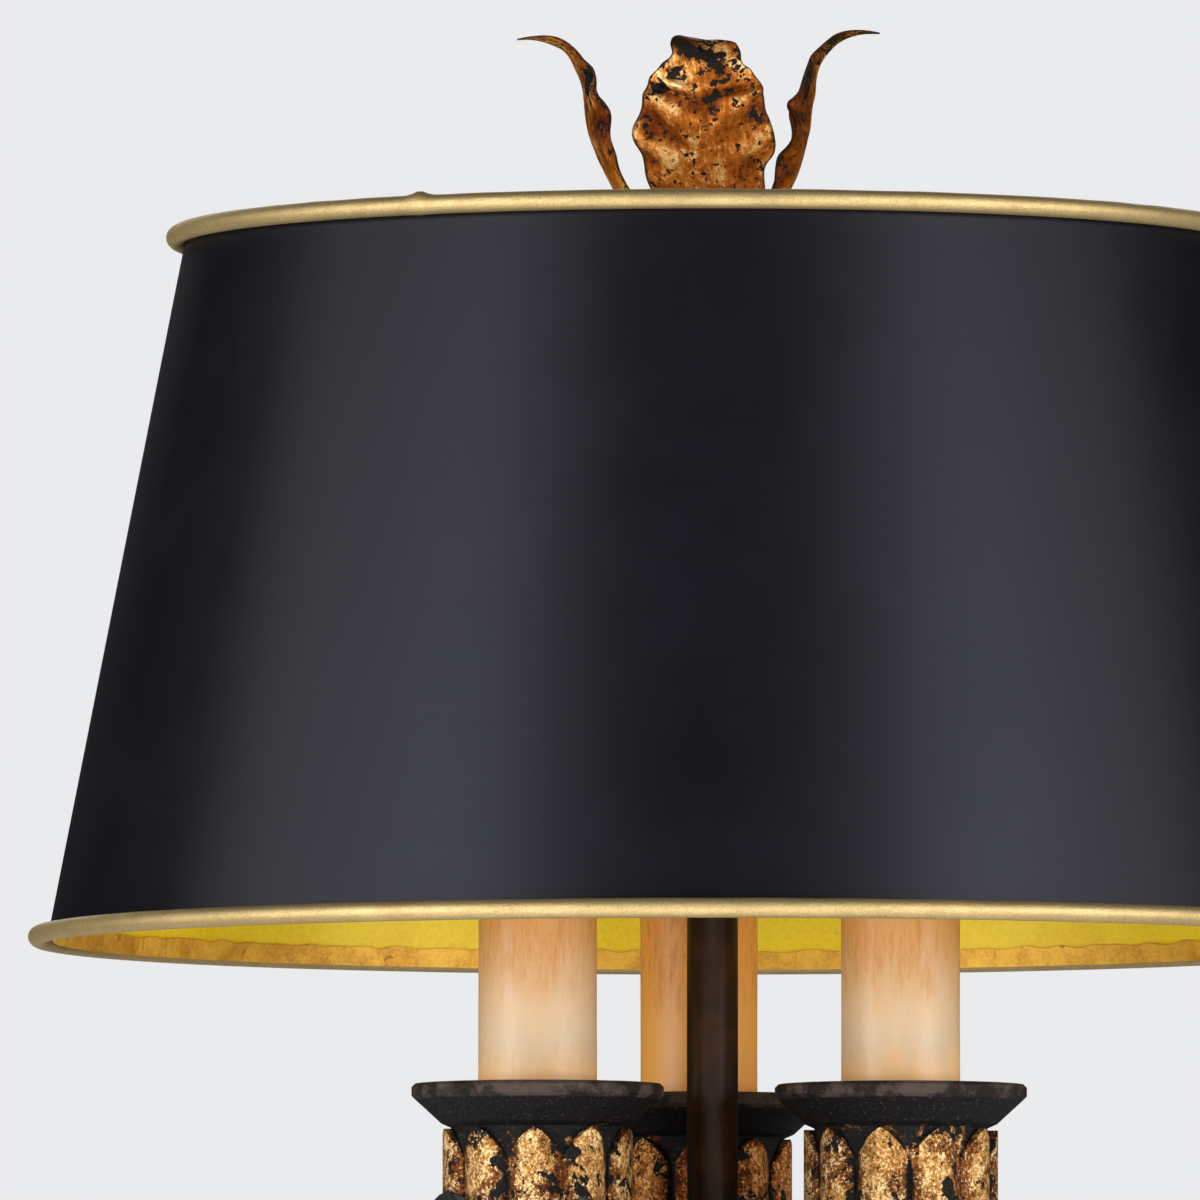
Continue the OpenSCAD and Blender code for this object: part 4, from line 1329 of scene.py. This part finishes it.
SEAT = (3.925, -3.4)
CUTS: dict[Bearing, LeafCut] = {
    Bearing.FRONT: LeafCut(
        lower=(SEAT, (9.8, -0.8), (19.0, 12.2), (20.9, 24.8)),
        upper=((20.9, 24.8), (21.9, 31.5), (23.5, 38.8), (29.5, 32.2)),
        folds=(1.5, 1.2), gutter=(0.2, 0.0), turn=-7.4, pace=0.7),
    Bearing.RIGHT: LeafCut(
        lower=(SEAT, (8.6, -0.8), (17.9, 11.5), (18.4, 24.8)),
        upper=((18.4, 24.8), (18.6, 31.5), (20.5, 39.5), (31.2, 38.4)),
        curl=((0.0, 0.0), (0.28, 1.1), (0.33, 2.3), (0.355, 2.5), (0.385, 1.2), (0.42, 0.6), (0.445, 1.0),
              (0.468, 2.8), (0.49, 3.9), (0.525, 2.2), (0.58, 0.8), (0.7, 1.6), (0.8, 0.8), (1.0, 0.0))),
    Bearing.BACK: LeafCut(
        lower=(SEAT, (9.8, -0.8), (19.0, 12.2), (20.9, 24.8)),
        upper=((20.9, 24.8), (22.8, 33.0), (26.0, 36.0), (34.0, 35.0)),
        folds=(0.6, 0.9), gutter=(0.2, 0.3), wide=0.84),
    Bearing.LEFT: LeafCut(
        lower=(SEAT, (11.5, -0.8), (22.8, 12.5), (23.3, 24.8)),
        upper=((23.3, 24.8), (23.9, 31.0), (25.5, 38.8), (36.3, 36.9)),
        curl=((0.0, 0.0), (0.28, -0.5), (0.34, 0.2), (0.385, 0.1), (0.41, 0.4), (0.44, 1.6), (0.465, 2.2),
              (0.48, 1.9), (0.51, 0.6), (0.55, 0.3), (0.6, 0.9), (0.65, 1.0), (0.7, 0.2), (1.0, 0.0))),
}


@dataclass
class Finial:
    """The turned seat with its four gilded leaves.

    Attributes:
        fan: Greatest half width as a share of the distance from the axis.
        flat: Radius of the wrap as a share of the distance from the axis.
        left_edge: Half width of a leaf's left half, for places along.
        right_edge: The same for its right half.
        edge_soft: How many of the fine places an edge is smoothed over.
        curl_soft: The same for a rolled edge.
    """

    layout: Layout
    thick: float = 0.9
    fan: float = 0.78
    flat: float = 2.1
    rows: int = 140
    columns: int = 44
    left_edge: Line = (
        (0.0, 2.0), (0.15, 7.0), (0.267, 10.6), (0.3, 11.4), (0.335, 12.0), (0.36, 12.5), (0.385, 13.3),
        (0.413, 13.8), (0.435, 13.7), (0.459, 12.8), (0.482, 12.1), (0.51, 11.5), (0.575, 11.1),
        (0.645, 10.1), (0.725, 8.0), (0.76, 6.6), (0.79, 6.2), (0.84, 6.5), (0.88, 6.1), (0.92, 5.0),
        (0.965, 2.9), (1.0, 0.3))
    right_edge: Line = (
        (0.0, 2.0), (0.15, 7.0), (0.267, 10.9), (0.3, 10.9), (0.325, 10.8), (0.34, 11.3), (0.36, 12.7),
        (0.385, 13.2), (0.413, 12.9), (0.443, 12.0), (0.467, 11.1), (0.5, 11.1), (0.56, 10.8), (0.62, 9.9),
        (0.685, 8.4), (0.715, 7.2), (0.75, 6.9), (0.84, 6.5), (0.88, 6.0), (0.92, 4.9), (0.965, 2.9),
        (1.0, 0.3))
    fine_places: int = 801
    edge_soft: int = 13
    curl_soft: int = 21
    leaves: dict[str, Object] = field(default_factory=dict)

    def _soft(self, line: Line, places: Array, width: int) -> Array:
        """Reads a line of given points with its corners smoothed.

        Args:
            line: Places from 0 to 1 and their values.
            places: Where to read it.
            width: How many of the fine places to smooth over.

        Returns:
            The values.
        """
        fine = np.linspace(0, 1, self.fine_places)
        exact = np.pad(np.interp(fine, *zip(*line)), width // 2, mode="edge")
        return np.interp(places, fine, np.convolve(exact, np.ones(width) / width, "valid"))

    def midrib(self, cut: LeafCut, u: Array) -> Array:
        """Makes the two curves of a leaf's midrib.

        Args:
            cut: How the leaf was cut.
            u: Places from root to tip.

        Returns:
            Distance and level of each place.
        """
        late = np.clip(2 * u - 1, 0, 1)
        first = bezier(cut.lower, np.clip(2 * u, 0, 1))
        last = bezier(cut.upper, cut.pace * late + (1 - cut.pace) * late ** 5)
        return np.where((u < 0.5)[:, None], first, last) + (0, self.layout.top_z)

    def width(self, cut: LeafCut, u: Array, t: Array) -> Array:
        """Makes a leaf's lobed outline, a little different left and right.

        Args:
            cut: How the leaf was cut.
            u: Places along.
            t: Places across.

        Returns:
            The half widths.
        """
        left, right = (self._soft(edge, u, self.edge_soft) for edge in (self.left_edge, self.right_edge))
        nick = 1 + 0.012 * np.sin(TURN * 9 * u + cut.turn + 1.5 * np.sign(t))
        widest = self.fan * self.midrib(cut, u.ravel())[:, :1]
        return np.minimum(widest, np.where(t < 0, left, right) * nick) * cut.wide

    def ripple(self, where: Bearing, cut: LeafCut, u: Array, t: Array) -> Array:
        """Makes a blade's slanting folds, its midrib, its dents, its rolled edge and its gutter at the tip.

        Args:
            where: The leaf's quarter.
            cut: How it was cut.
            u: Places along.
            t: Places across.

        Returns:
            How far the blade stands out.
        """
        side = np.abs(t)
        bulge = np.sin(math.pi * u)
        zone = grown(u, 0.3, 0.08) * grown(u, 0.64, -0.1, 0.12)
        wave = np.sin(TURN * (8.3 * (u - 0.13 * side) - np.where(t > 0, 0.22, 0.07)))
        fold = np.where(t < 0, *cut.folds) * zone * side ** 0.8 * (1 - 0.65 * side ** 3) * wave * bulge
        rib = -0.3 * np.exp(-((t / 0.08) ** 2)) * np.clip(1.15 - u, 0, 1)
        dent = 0.3 * np.sin(9 * u + 3.1 * t + where.value) * np.sin(17 * u - 5.3 * t) * bulge
        near = t * math.sin(-math.pi / 2 * where.value) >= 0
        roll = -self._soft(cut.curl, u, self.curl_soft) * side ** 2 * np.where(near, 1.0, 0.5)
        gutter = -np.where(t < 0, *cut.gutter) * self.width(cut, u, t) * side * grown(u, 0.7, 0.14)
        return fold + rib + dent + roll + gutter

    def build(self) -> None:
        """Makes the four leaves."""
        for where, cut in CUTS.items():
            form = LeafForm(partial(self.midrib, cut), partial(self.width, cut),
                            partial(self.ripple, where, cut), self.thick, self.flat, self.rows, self.columns)
            node = f"finial_leaf_{where.name.lower()}"
            self.leaves[node] = form.build(f"{node}_form", self.layout.column, 90.0 * where.value + cut.turn)

    def dress(self) -> None:
        """Gives leaves and seat their gilding."""
        gilt = LeafGilt().material()
        for node, leaf in self.leaves.items():
            settle(leaf, Body.FINIAL, gilt, node)
        dress_nodes(LeafGilt("seat_gilt", crest=0.5), "finial_seat")


@dataclass
class Candles:
    """The three candle cups with their sleeves, sockets and lamps.

    Attributes:
        lip: Drop below the sleeve's top and distance inwards of the points of its rounded lip.
        lip_drop: Where the lip starts below the top.
        wave: The wax's unevenness round the sleeve: size, and least and greatest number of waves.
        wave_low: How much deeper than the plain sleeve the waves lie.
        roll: The wax's unevenness up the sleeve: size, and height over which a wave turns by 1 radian.
        limits: How far the wax goes in, and out without touching the cup's bore.
        belly_at: Height of the lamp's widest place, as a share of its height.
        pulls: Heights of the handles below and above the belly, as shares of its height and of the lamp's.
        point: Distance and height of the last handle, as shares of lamp_r and of the lamp's height.
        point_r: Radius of the lamp's tip, as a share of glass_wall.
        crown: Thickness of the glass at the top.
        pole: Radius of the pinhole on the axis.
    """

    layout: Layout
    count: int = 3
    sleeve_r: float = 11.0
    sleeve_rows: int = 60
    sleeve_steps: int = 96
    wall: float = 0.7
    lip: Line = ((0.2, 0.1), (0.0, 0.3))
    lip_drop: float = 0.6
    wave: tuple[float, int, int] = (0.05, 2, 9)
    wave_low: float = 0.02
    wave_seed: int = 30
    roll: Pair = (0.03, 9.0)
    limits: Pair = (-0.2, 0.06)
    lamp_r: float = 17.5
    lamp_rows: int = 22
    lamp_steps: int = 72
    neck_r: float = 5.9
    glass_wall: float = 0.8
    belly_at: float = 0.36
    pulls: Pair = (0.45, 0.68)
    point: Pair = (0.2, 0.8)
    point_r: float = 1.5
    crown: float = 1.8
    pole: float = 0.05
    sleeves: list[Object] = field(default_factory=list)
    glasses: list[Object] = field(default_factory=list)

    def each(self, name: str) -> list[str]:
        """Returns the names of the same node in every candle, in order."""
        return [f"{name}_{i}" for i in range(1, self.count + 1)]

    def build(self) -> None:
        """Makes sleeves and lamp glasses."""
        for i, (sleeve, glass) in enumerate(zip(self.each("candle_sleeve"), self.each("lamp_glass")), 1):
            self.sleeves.append(self._sleeve(sleeve, i))
            self.glasses.append(self._glass(glass))

    def _sleeve(self, node: str, i: int) -> Object:
        """Makes one sleeve.

        Args:
            node: CAD node that it stands for.
            i: The candle's number.

        Returns:
            The new object.
        """
        low, high = span(node)
        up = np.linspace(low, high - self.lip_drop, self.sleeve_rows)
        lip = [(self.sleeve_r - inwards, high - drop) for drop, inwards in self.lip]
        bore = self.sleeve_r - self.wall
        profile = np.concatenate([np.stack([np.full(self.sleeve_rows, self.sleeve_r), up], axis=1),
                                  lip, [(bore, high), (bore, low)]])
        skin = np.arange(len(profile)) < self.sleeve_rows

        def waver(bearing: Array, outline: Array) -> Array:
            """Gives the dipped wax a slight unevenness that stays inside its cup's bore."""
            size, first, last = self.wave
            deep, long = self.roll
            wave = size * wobble(bearing, self.wave_seed + i, first, last) - self.wave_low
            move = np.clip(wave + deep * np.sin(outline[:, 1] / long + i), *self.limits) * skin
            return np.stack([move, np.zeros_like(move)], axis=2)

        return Forge.lathe(f"{node}_form", profile, middle(node), self.sleeve_steps, waver)

    def _glass(self, node: str) -> Object:
        """Makes one lamp's glass.

        Args:
            node: CAD node that it stands for.

        Returns:
            The new object.
        """
        low, high = span(node)
        tall = high - low
        belly = tall * self.belly_at
        r, wall = self.lamp_r, self.glass_wall
        swell, shoulder = belly * self.pulls[0], tall * self.pulls[1]
        handle, tip = (r * self.point[0], tall * self.point[1]), (wall * self.point_r, tall)
        steps = np.linspace(0, 1, self.lamp_rows)
        lower = bezier([(self.neck_r, 0), (self.neck_r, swell), (r, swell), (r, belly)], steps)
        upper = bezier([(r, belly), (r, shoulder), handle, tip], steps)[1:]
        outer = np.concatenate([lower, upper])
        inner = outer[::-1] * (1, 1 - self.crown / tall)
        inner[:, 0] = np.clip(inner[:, 0] - wall, self.pole, None)
        profile = np.concatenate([outer, [[self.pole, tall]], inner]) + (0, low)
        return Forge.lathe(f"{node}_form", profile, middle(node), self.lamp_steps)

    def dress(self) -> None:
        """Gives the candles their finishes, with warmer, darker copies for the last, which stands behind the
        rod: painted shade and painted warm light from the lining.
        """
        wax, glass = Wax().material(), Glass().material()
        # The rear candle's wax and cup: copies painted warmer and darker as shade, with warm light from the
        # lining.
        shaded_rear_wax = Wax("sleeve_wax_back_painted_shade", (1.0, 0.44, 0.092), (1.0, 0.385, 0.07), foot=(1.0, 0.42, 0.09))
        shaded_rear_cup = CupIron("cup_gilt_back_painted_shade", (0.15, 0.026, 0.005), (0.36, 0.12, 0.025), (0.85, 0.47, 0.16))
        nickel = Metal("cap_nickel", (0.68, 0.66, 0.6), (0.5, 0.47, 0.4), roughness=0.25)
        for i, (sleeve, pane) in enumerate(zip(self.sleeves, self.glasses), 1):
            worn = shaded_rear_wax.material() if i == self.count else wax
            settle(sleeve, Body.BASE, worn, f"candle_sleeve_{i}")
            settle(pane, Body[f"LAMP_{i}"], glass, f"lamp_glass_{i}")
        *front_cups, last_cup = self.each("candle_cup")
        dress_nodes(CupIron(), *front_cups)
        dress_nodes(shaded_rear_cup, last_cup)
        dress_nodes(Moulding.of("socket_phenolic", (0.035, 0.025, 0.02), 0.3), *self.each("lamp_socket"))
        dress_nodes(Zinc("nipple_zinc"), *self.each("socket_nipple"), "socket_nuts")
        dress_nodes(nickel, *self.each("lamp_cap"))
        dress_nodes(Moulding.of("filament_yellow", (0.85, 0.55, 0.12), 0.5), *self.each("lamp_filament"))


@dataclass
class Column:
    """The rod, the deck, the leaf bowl and the hub.

    Attributes:
        leaf_turn: Bearing of the first bowl leaf, in degrees.
        leaf_reach: Distance of the leaves' tips from the axis.
        leaf_rise: Height of the tips over the bowl's foot.
        bent: How much higher than that each leaf's tip was bent.
        floor_r: Radius of the bowl's flat foot.
        seat: Room between leaf and bowl.
        root_share: Where the leaves start on the bowl's round side, as a share of its angle.
        tip_pull: Share of the free height at which a leaf's last handle stands.
        widest: Place along at which a leaf is widest.
        tip_round: How blunt a leaf's tip is.
        tip_least: Square of the tip's own width, as a share of the leaf's.
    """

    layout: Layout
    leaf_turn: float = 3.0
    leaf_reach: float = 60.5
    leaf_rise: float = 42.5
    bent: tuple[float, ...] = (-0.2, -0.8, -1.2, -0.5, 0.4, -0.3, 0.2, -0.6, 0.3, -0.4, 2.0, 0.2)
    leaf_width: float = 24.0
    leaf_thick: float = 1.1
    leaf_rows: int = 60
    leaf_columns: int = 24
    bowl_r: float = 58.0
    bowl_h: float = 20.0
    floor_r: float = 22.0
    seat: float = 0.15
    root_share: float = 0.45
    tip_pull: float = 0.75
    widest: float = 0.45
    tip_round: float = 2.4
    tip_least: float = 0.001
    leaves: Object | None = None

    def path(self, bent: float, u: Array) -> Array:
        """Makes a bowl leaf's midrib, which lies on the bowl's round side and then stands free.

        Args:
            bent: How much higher than leaf_rise this leaf's tip was bent.
            u: Places from root to tip.

        Returns:
            Distance and level of each place.
        """
        run = self.bowl_r - self.floor_r
        arc = (run ** 2 + self.bowl_h ** 2) / (2 * self.bowl_h)
        outside = arc + self.seat + self.leaf_thick / 2
        end = math.asin(run / arc)
        root = end * self.root_share
        angle = root + (end - root) * np.clip(2 * u, 0, 1)
        first = np.stack([self.floor_r + outside * np.sin(angle), arc - outside * np.cos(angle)], axis=1)
        edge = np.array([self.floor_r + outside * math.sin(end), arc - outside * math.cos(end)])
        tip_z = self.leaf_rise + bent
        free = tip_z - self.bowl_h
        flight = [edge, edge + free / 3 * np.array([math.cos(end), math.sin(end)]),
                  ((edge[0] + 2 * self.leaf_reach) / 3, edge[1] + free * self.tip_pull),
                  (self.leaf_reach, tip_z)]
        last = bezier(flight, np.clip(2 * u - 1, 0, 1))
        return np.where((u < 0.5)[:, None], first, last) + (0, span("hub")[1])

    def half(self, u: Array, t: Array) -> Array:
        """Makes a bowl leaf's outline.

        Args:
            u: Places along.
            t: Places across, which are not used: the outline is the same for all of them.

        Returns:
            The half widths.
        """
        ahead = np.clip((u - self.widest) / (1 - self.widest), 0, 1)
        tip = np.sqrt(np.clip(1 - ahead ** self.tip_round, self.tip_least, 1))
        return self.leaf_width / 2 * np.where(u < self.widest, 1 - self.widest + u, tip)

    @staticmethod
    def vein(u: Array, t: Array) -> Array:
        """Makes a bowl leaf's raised midrib and faint side veins, on the outside only.

        Args:
            u: Places along.
            t: Places across.

        Returns:
            How far the blade stands out.
        """
        rib = 0.3 * np.exp(-((t / 0.07) ** 2)) * np.clip(1.1 - u, 0, 1)
        return rib + 0.1 * np.abs(t) * (1 + np.sin(TURN * (7 * u - 1.2 * np.abs(t))))

    def build(self) -> None:
        """Makes the bowl's leaves."""
        parts = []
        for k, bent in enumerate(self.bent):
            form = LeafForm(partial(self.path, bent), self.half, self.vein, self.leaf_thick, 1.0,
                            self.leaf_rows, self.leaf_columns)
            turn = self.leaf_turn + 360.0 * k / len(self.bent)
            parts.append(form.build(f"bowl_leaf_part_{k}", self.layout.column, turn))
        self.leaves = Forge.joined("bowl_leaves_form", parts)

    def dress(self) -> None:
        """Gives the column its finishes."""
        leaf = Iron("leaf_iron", (0.006, 0.006, 0.006), (0.026, 0.018, 0.013))
        # Browner than the other iron: partly the rod's own dark brown, partly painted warm light reflected
        # from the sleeves and the lining.
        rod = Iron("rod_iron_painted_warm_light", (0.021, 0.0080, 0.0034), (0.062, 0.022, 0.0065), Grain(300, 4, 0.65),
                   roughness=0.42, gloss=0.22)
        settle(self.leaves, Body.BASE, leaf.material(), "bowl_leaves")
        dress_nodes(Iron(), "hub", "bowl", "candle_deck", "rod_lock_nut")
        dress_nodes(rod, "centre_rod")
        dress_nodes(Metal("stud_brass", (0.62, 0.44, 0.17), (0.4, 0.26, 0.09)), "finial_stud", "spider_seat")
        dress_nodes(Zinc("spacer_zinc"), "deck_spacer")


class Bracket:
    """The arm, the back plate and what holds them to the wall, all of them the CAD's own forms."""

    def dress(self) -> None:
        """Gives arm, plate and fixings their finishes."""
        dress_nodes(Iron("bracket_iron"), "arm_tube", "back_plate")
        dress_nodes(LeafGilt("bracket_gilt", crest=0.55), "arm_collar", "stem_knop", "plate_bead",
                    "cap_nut_upper", "cap_nut_lower")
        dress_nodes(Zinc("strap_zinc"), "wall_strap", "strap_studs", "stud_nuts", "arm_lock_nut")
        dress_nodes(Moulding.of("block_white", (0.78, 0.76, 0.7), 0.45), "terminal_block", "wire_bushing")
        dress_nodes(Moulding.of("ground_green", (0.03, 0.22, 0.07), 0.35), "ground_screw")


@dataclass(frozen=True)
class SoftBox:
    """One rectangular studio lamp aimed at the shade.

    Attributes:
        bearing: Where it stands, from straight ahead, in degrees.
        height: Its level in metres.
        distance: Its distance from the column in metres.
        wide: Its width in metres.
        tall: Its height in metres.
        power: Its strength in watts.
    """

    name: str
    bearing: float
    height: float
    distance: float
    wide: float
    tall: float
    power: float


@dataclass
class Studio:
    """Floor, light, background and camera, in metres.

    Attributes:
        lamp_aim_z: Level that the lamps are aimed at.
        camera_bearing: Where the camera stands, from straight ahead, in degrees.
        camera_drop: How far it stands below the shade's bottom bead.
        aim_left: How far left of the column it looks.
        aim_up: How far above its own level it looks.
        skies: Kinds of rays, and the colour and strength that they see. The first stands for all others.
    """

    layout: Layout
    floor_z: float = -0.75
    floor_half: float = 12.0
    lamp_aim_z: float = 0.2
    camera_bearing: float = -3.75
    camera_distance: float = 4.27
    camera_drop: float = 0.182
    aim_left: float = 0.02086
    aim_up: float = 0.2447
    lens_mm: float = 690.9
    sensor_mm: float = 36.0
    clip: Pair = (0.1, 60.0)
    skies: tuple[tuple[str, Colour, float], ...] = (
        ("Is Diffuse Ray", (1.0, 1.0, 1.0), 0.06),
        ("Is Glossy Ray", (1.0, 1.0, 1.0), 0.025),
        ("Is Transmission Ray", (0.823, 0.831, 0.847), 1.0),
        ("Is Camera Ray", (0.823, 0.831, 0.847), 1.0),
    )
    boxes: tuple[SoftBox, ...] = (
        SoftBox("left_wide", -66.5, 0.52, 1.7, 2.0, 0.85, 16.4),
        SoftBox("left_core", -47.5, 0.52, 1.7, 0.75, 0.8, 7.7),
        SoftBox("right_wide", 56.0, 0.52, 1.7, 2.2, 0.85, 16.1),
        SoftBox("right_core", 44.5, 0.52, 1.7, 0.8, 0.8, 7.5),
        SoftBox("front_low", -4.0, -0.06, 1.5, 1.2, 0.22, 2.9),
        SoftBox("left_low", -62.0, 0.0, 1.4, 0.7, 0.25, 5.3),
        SoftBox("right_low", 55.0, 0.0, 1.4, 0.7, 0.25, 5.5),
        SoftBox("from_below", -5.0, -0.30, 0.75, 1.0, 0.5, 4.3),
        SoftBox("behind", 178.0, 1.1, 1.9, 1.8, 0.9, 9.0),
    )

    def build(self) -> None:
        """Makes floor, lamps, background and camera."""
        self._floor()
        for box in self.boxes:
            self._lamp(box)
        self._world()
        self._camera()

    def _spot(self, bearing_deg: float, distance: float, level: float) -> Vector:
        """Returns a place at a bearing and a distance from the column, and at a level."""
        turn = math.radians(bearing_deg)
        x, y = (value * MM for value in self.layout.column)
        return Vector((x + distance * math.sin(turn), y - distance * math.cos(turn), level))

    @staticmethod
    def _aim(thing: Object, place: Vector, target: Vector) -> None:
        """Stands a lamp or the camera at a place and turns it to a target."""
        thing.location = place
        thing.rotation_euler = (target - place).to_track_quat("-Z", "Y").to_euler()

    def _floor(self) -> None:
        """Makes the floor, which is part of the stage."""
        half = self.floor_half
        corners = ((-half, -half), (half, -half), (half, half), (-half, half))
        data = bpy.data.meshes.new("floor")
        data.from_pydata([(x, y, self.floor_z) for x, y in corners], [], [(0, 1, 2, 3)])
        wear(data, Sweep().material())
        link("floor", data)

    def _lamp(self, box: SoftBox) -> None:
        """Makes one lamp, which neither the camera nor a look through glass shows."""
        data = bpy.data.lights.new(box.name, "AREA")
        data.shape, data.size, data.size_y, data.energy = "RECTANGLE", box.wide, box.tall, box.power
        lamp = link(box.name, data)
        place = self._spot(box.bearing, box.distance, box.height)
        self._aim(lamp, place, self._spot(0.0, 0.0, self.lamp_aim_z))
        lamp.visible_camera = lamp.visible_transmission = False

    def _world(self) -> None:
        """Makes the background, which each kind of ray sees in its own strength."""
        g = Graph(bpy.data.worlds.new("studio"))
        shown: Sig | None = None
        for kind, colour, strength in self.skies:
            sky = g.node("ShaderNodeBackground", {}, {"Color": colour, "Strength": strength})
            if shown is not None:
                sky = g.node("ShaderNodeMixShader", {}, {0: g.ray(kind), 1: shown, 2: sky})
            shown = sky
        bpy.context.scene.world = g.close(shown, "ShaderNodeOutputWorld")
        bpy.context.scene.view_settings.view_transform = "Standard"

    def _camera(self) -> None:
        """Makes the camera, a little left of straight ahead and below the shade."""
        data = bpy.data.cameras.new("camera")
        data.lens, data.sensor_width = self.lens_mm, self.sensor_mm
        data.clip_start, data.clip_end = self.clip
        camera = link("camera", data)
        level = self.layout.shade_z * MM - self.camera_drop
        place = self._spot(self.camera_bearing, self.camera_distance, level)
        target = self._spot(self.camera_bearing - 90.0, self.aim_left, level + self.aim_up)
        self._aim(camera, place, target)
        bpy.context.scene.camera = camera


def main() -> None:
    """Builds the wall light's looks in order."""
    logging.basicConfig(level=logging.INFO, format="%(name)s: %(message)s")
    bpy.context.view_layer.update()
    layout = Layout.read()
    for assembly in (Shade(layout), Finial(layout), Candles(layout), Column(layout)):
        log.info("assembly %s", type(assembly).__name__)
        assembly.build()
        assembly.dress()
    Bracket().dress()
    Studio(layout).build()
    bpy.context.view_layer.update()


if __name__ == "__main__":
    main()
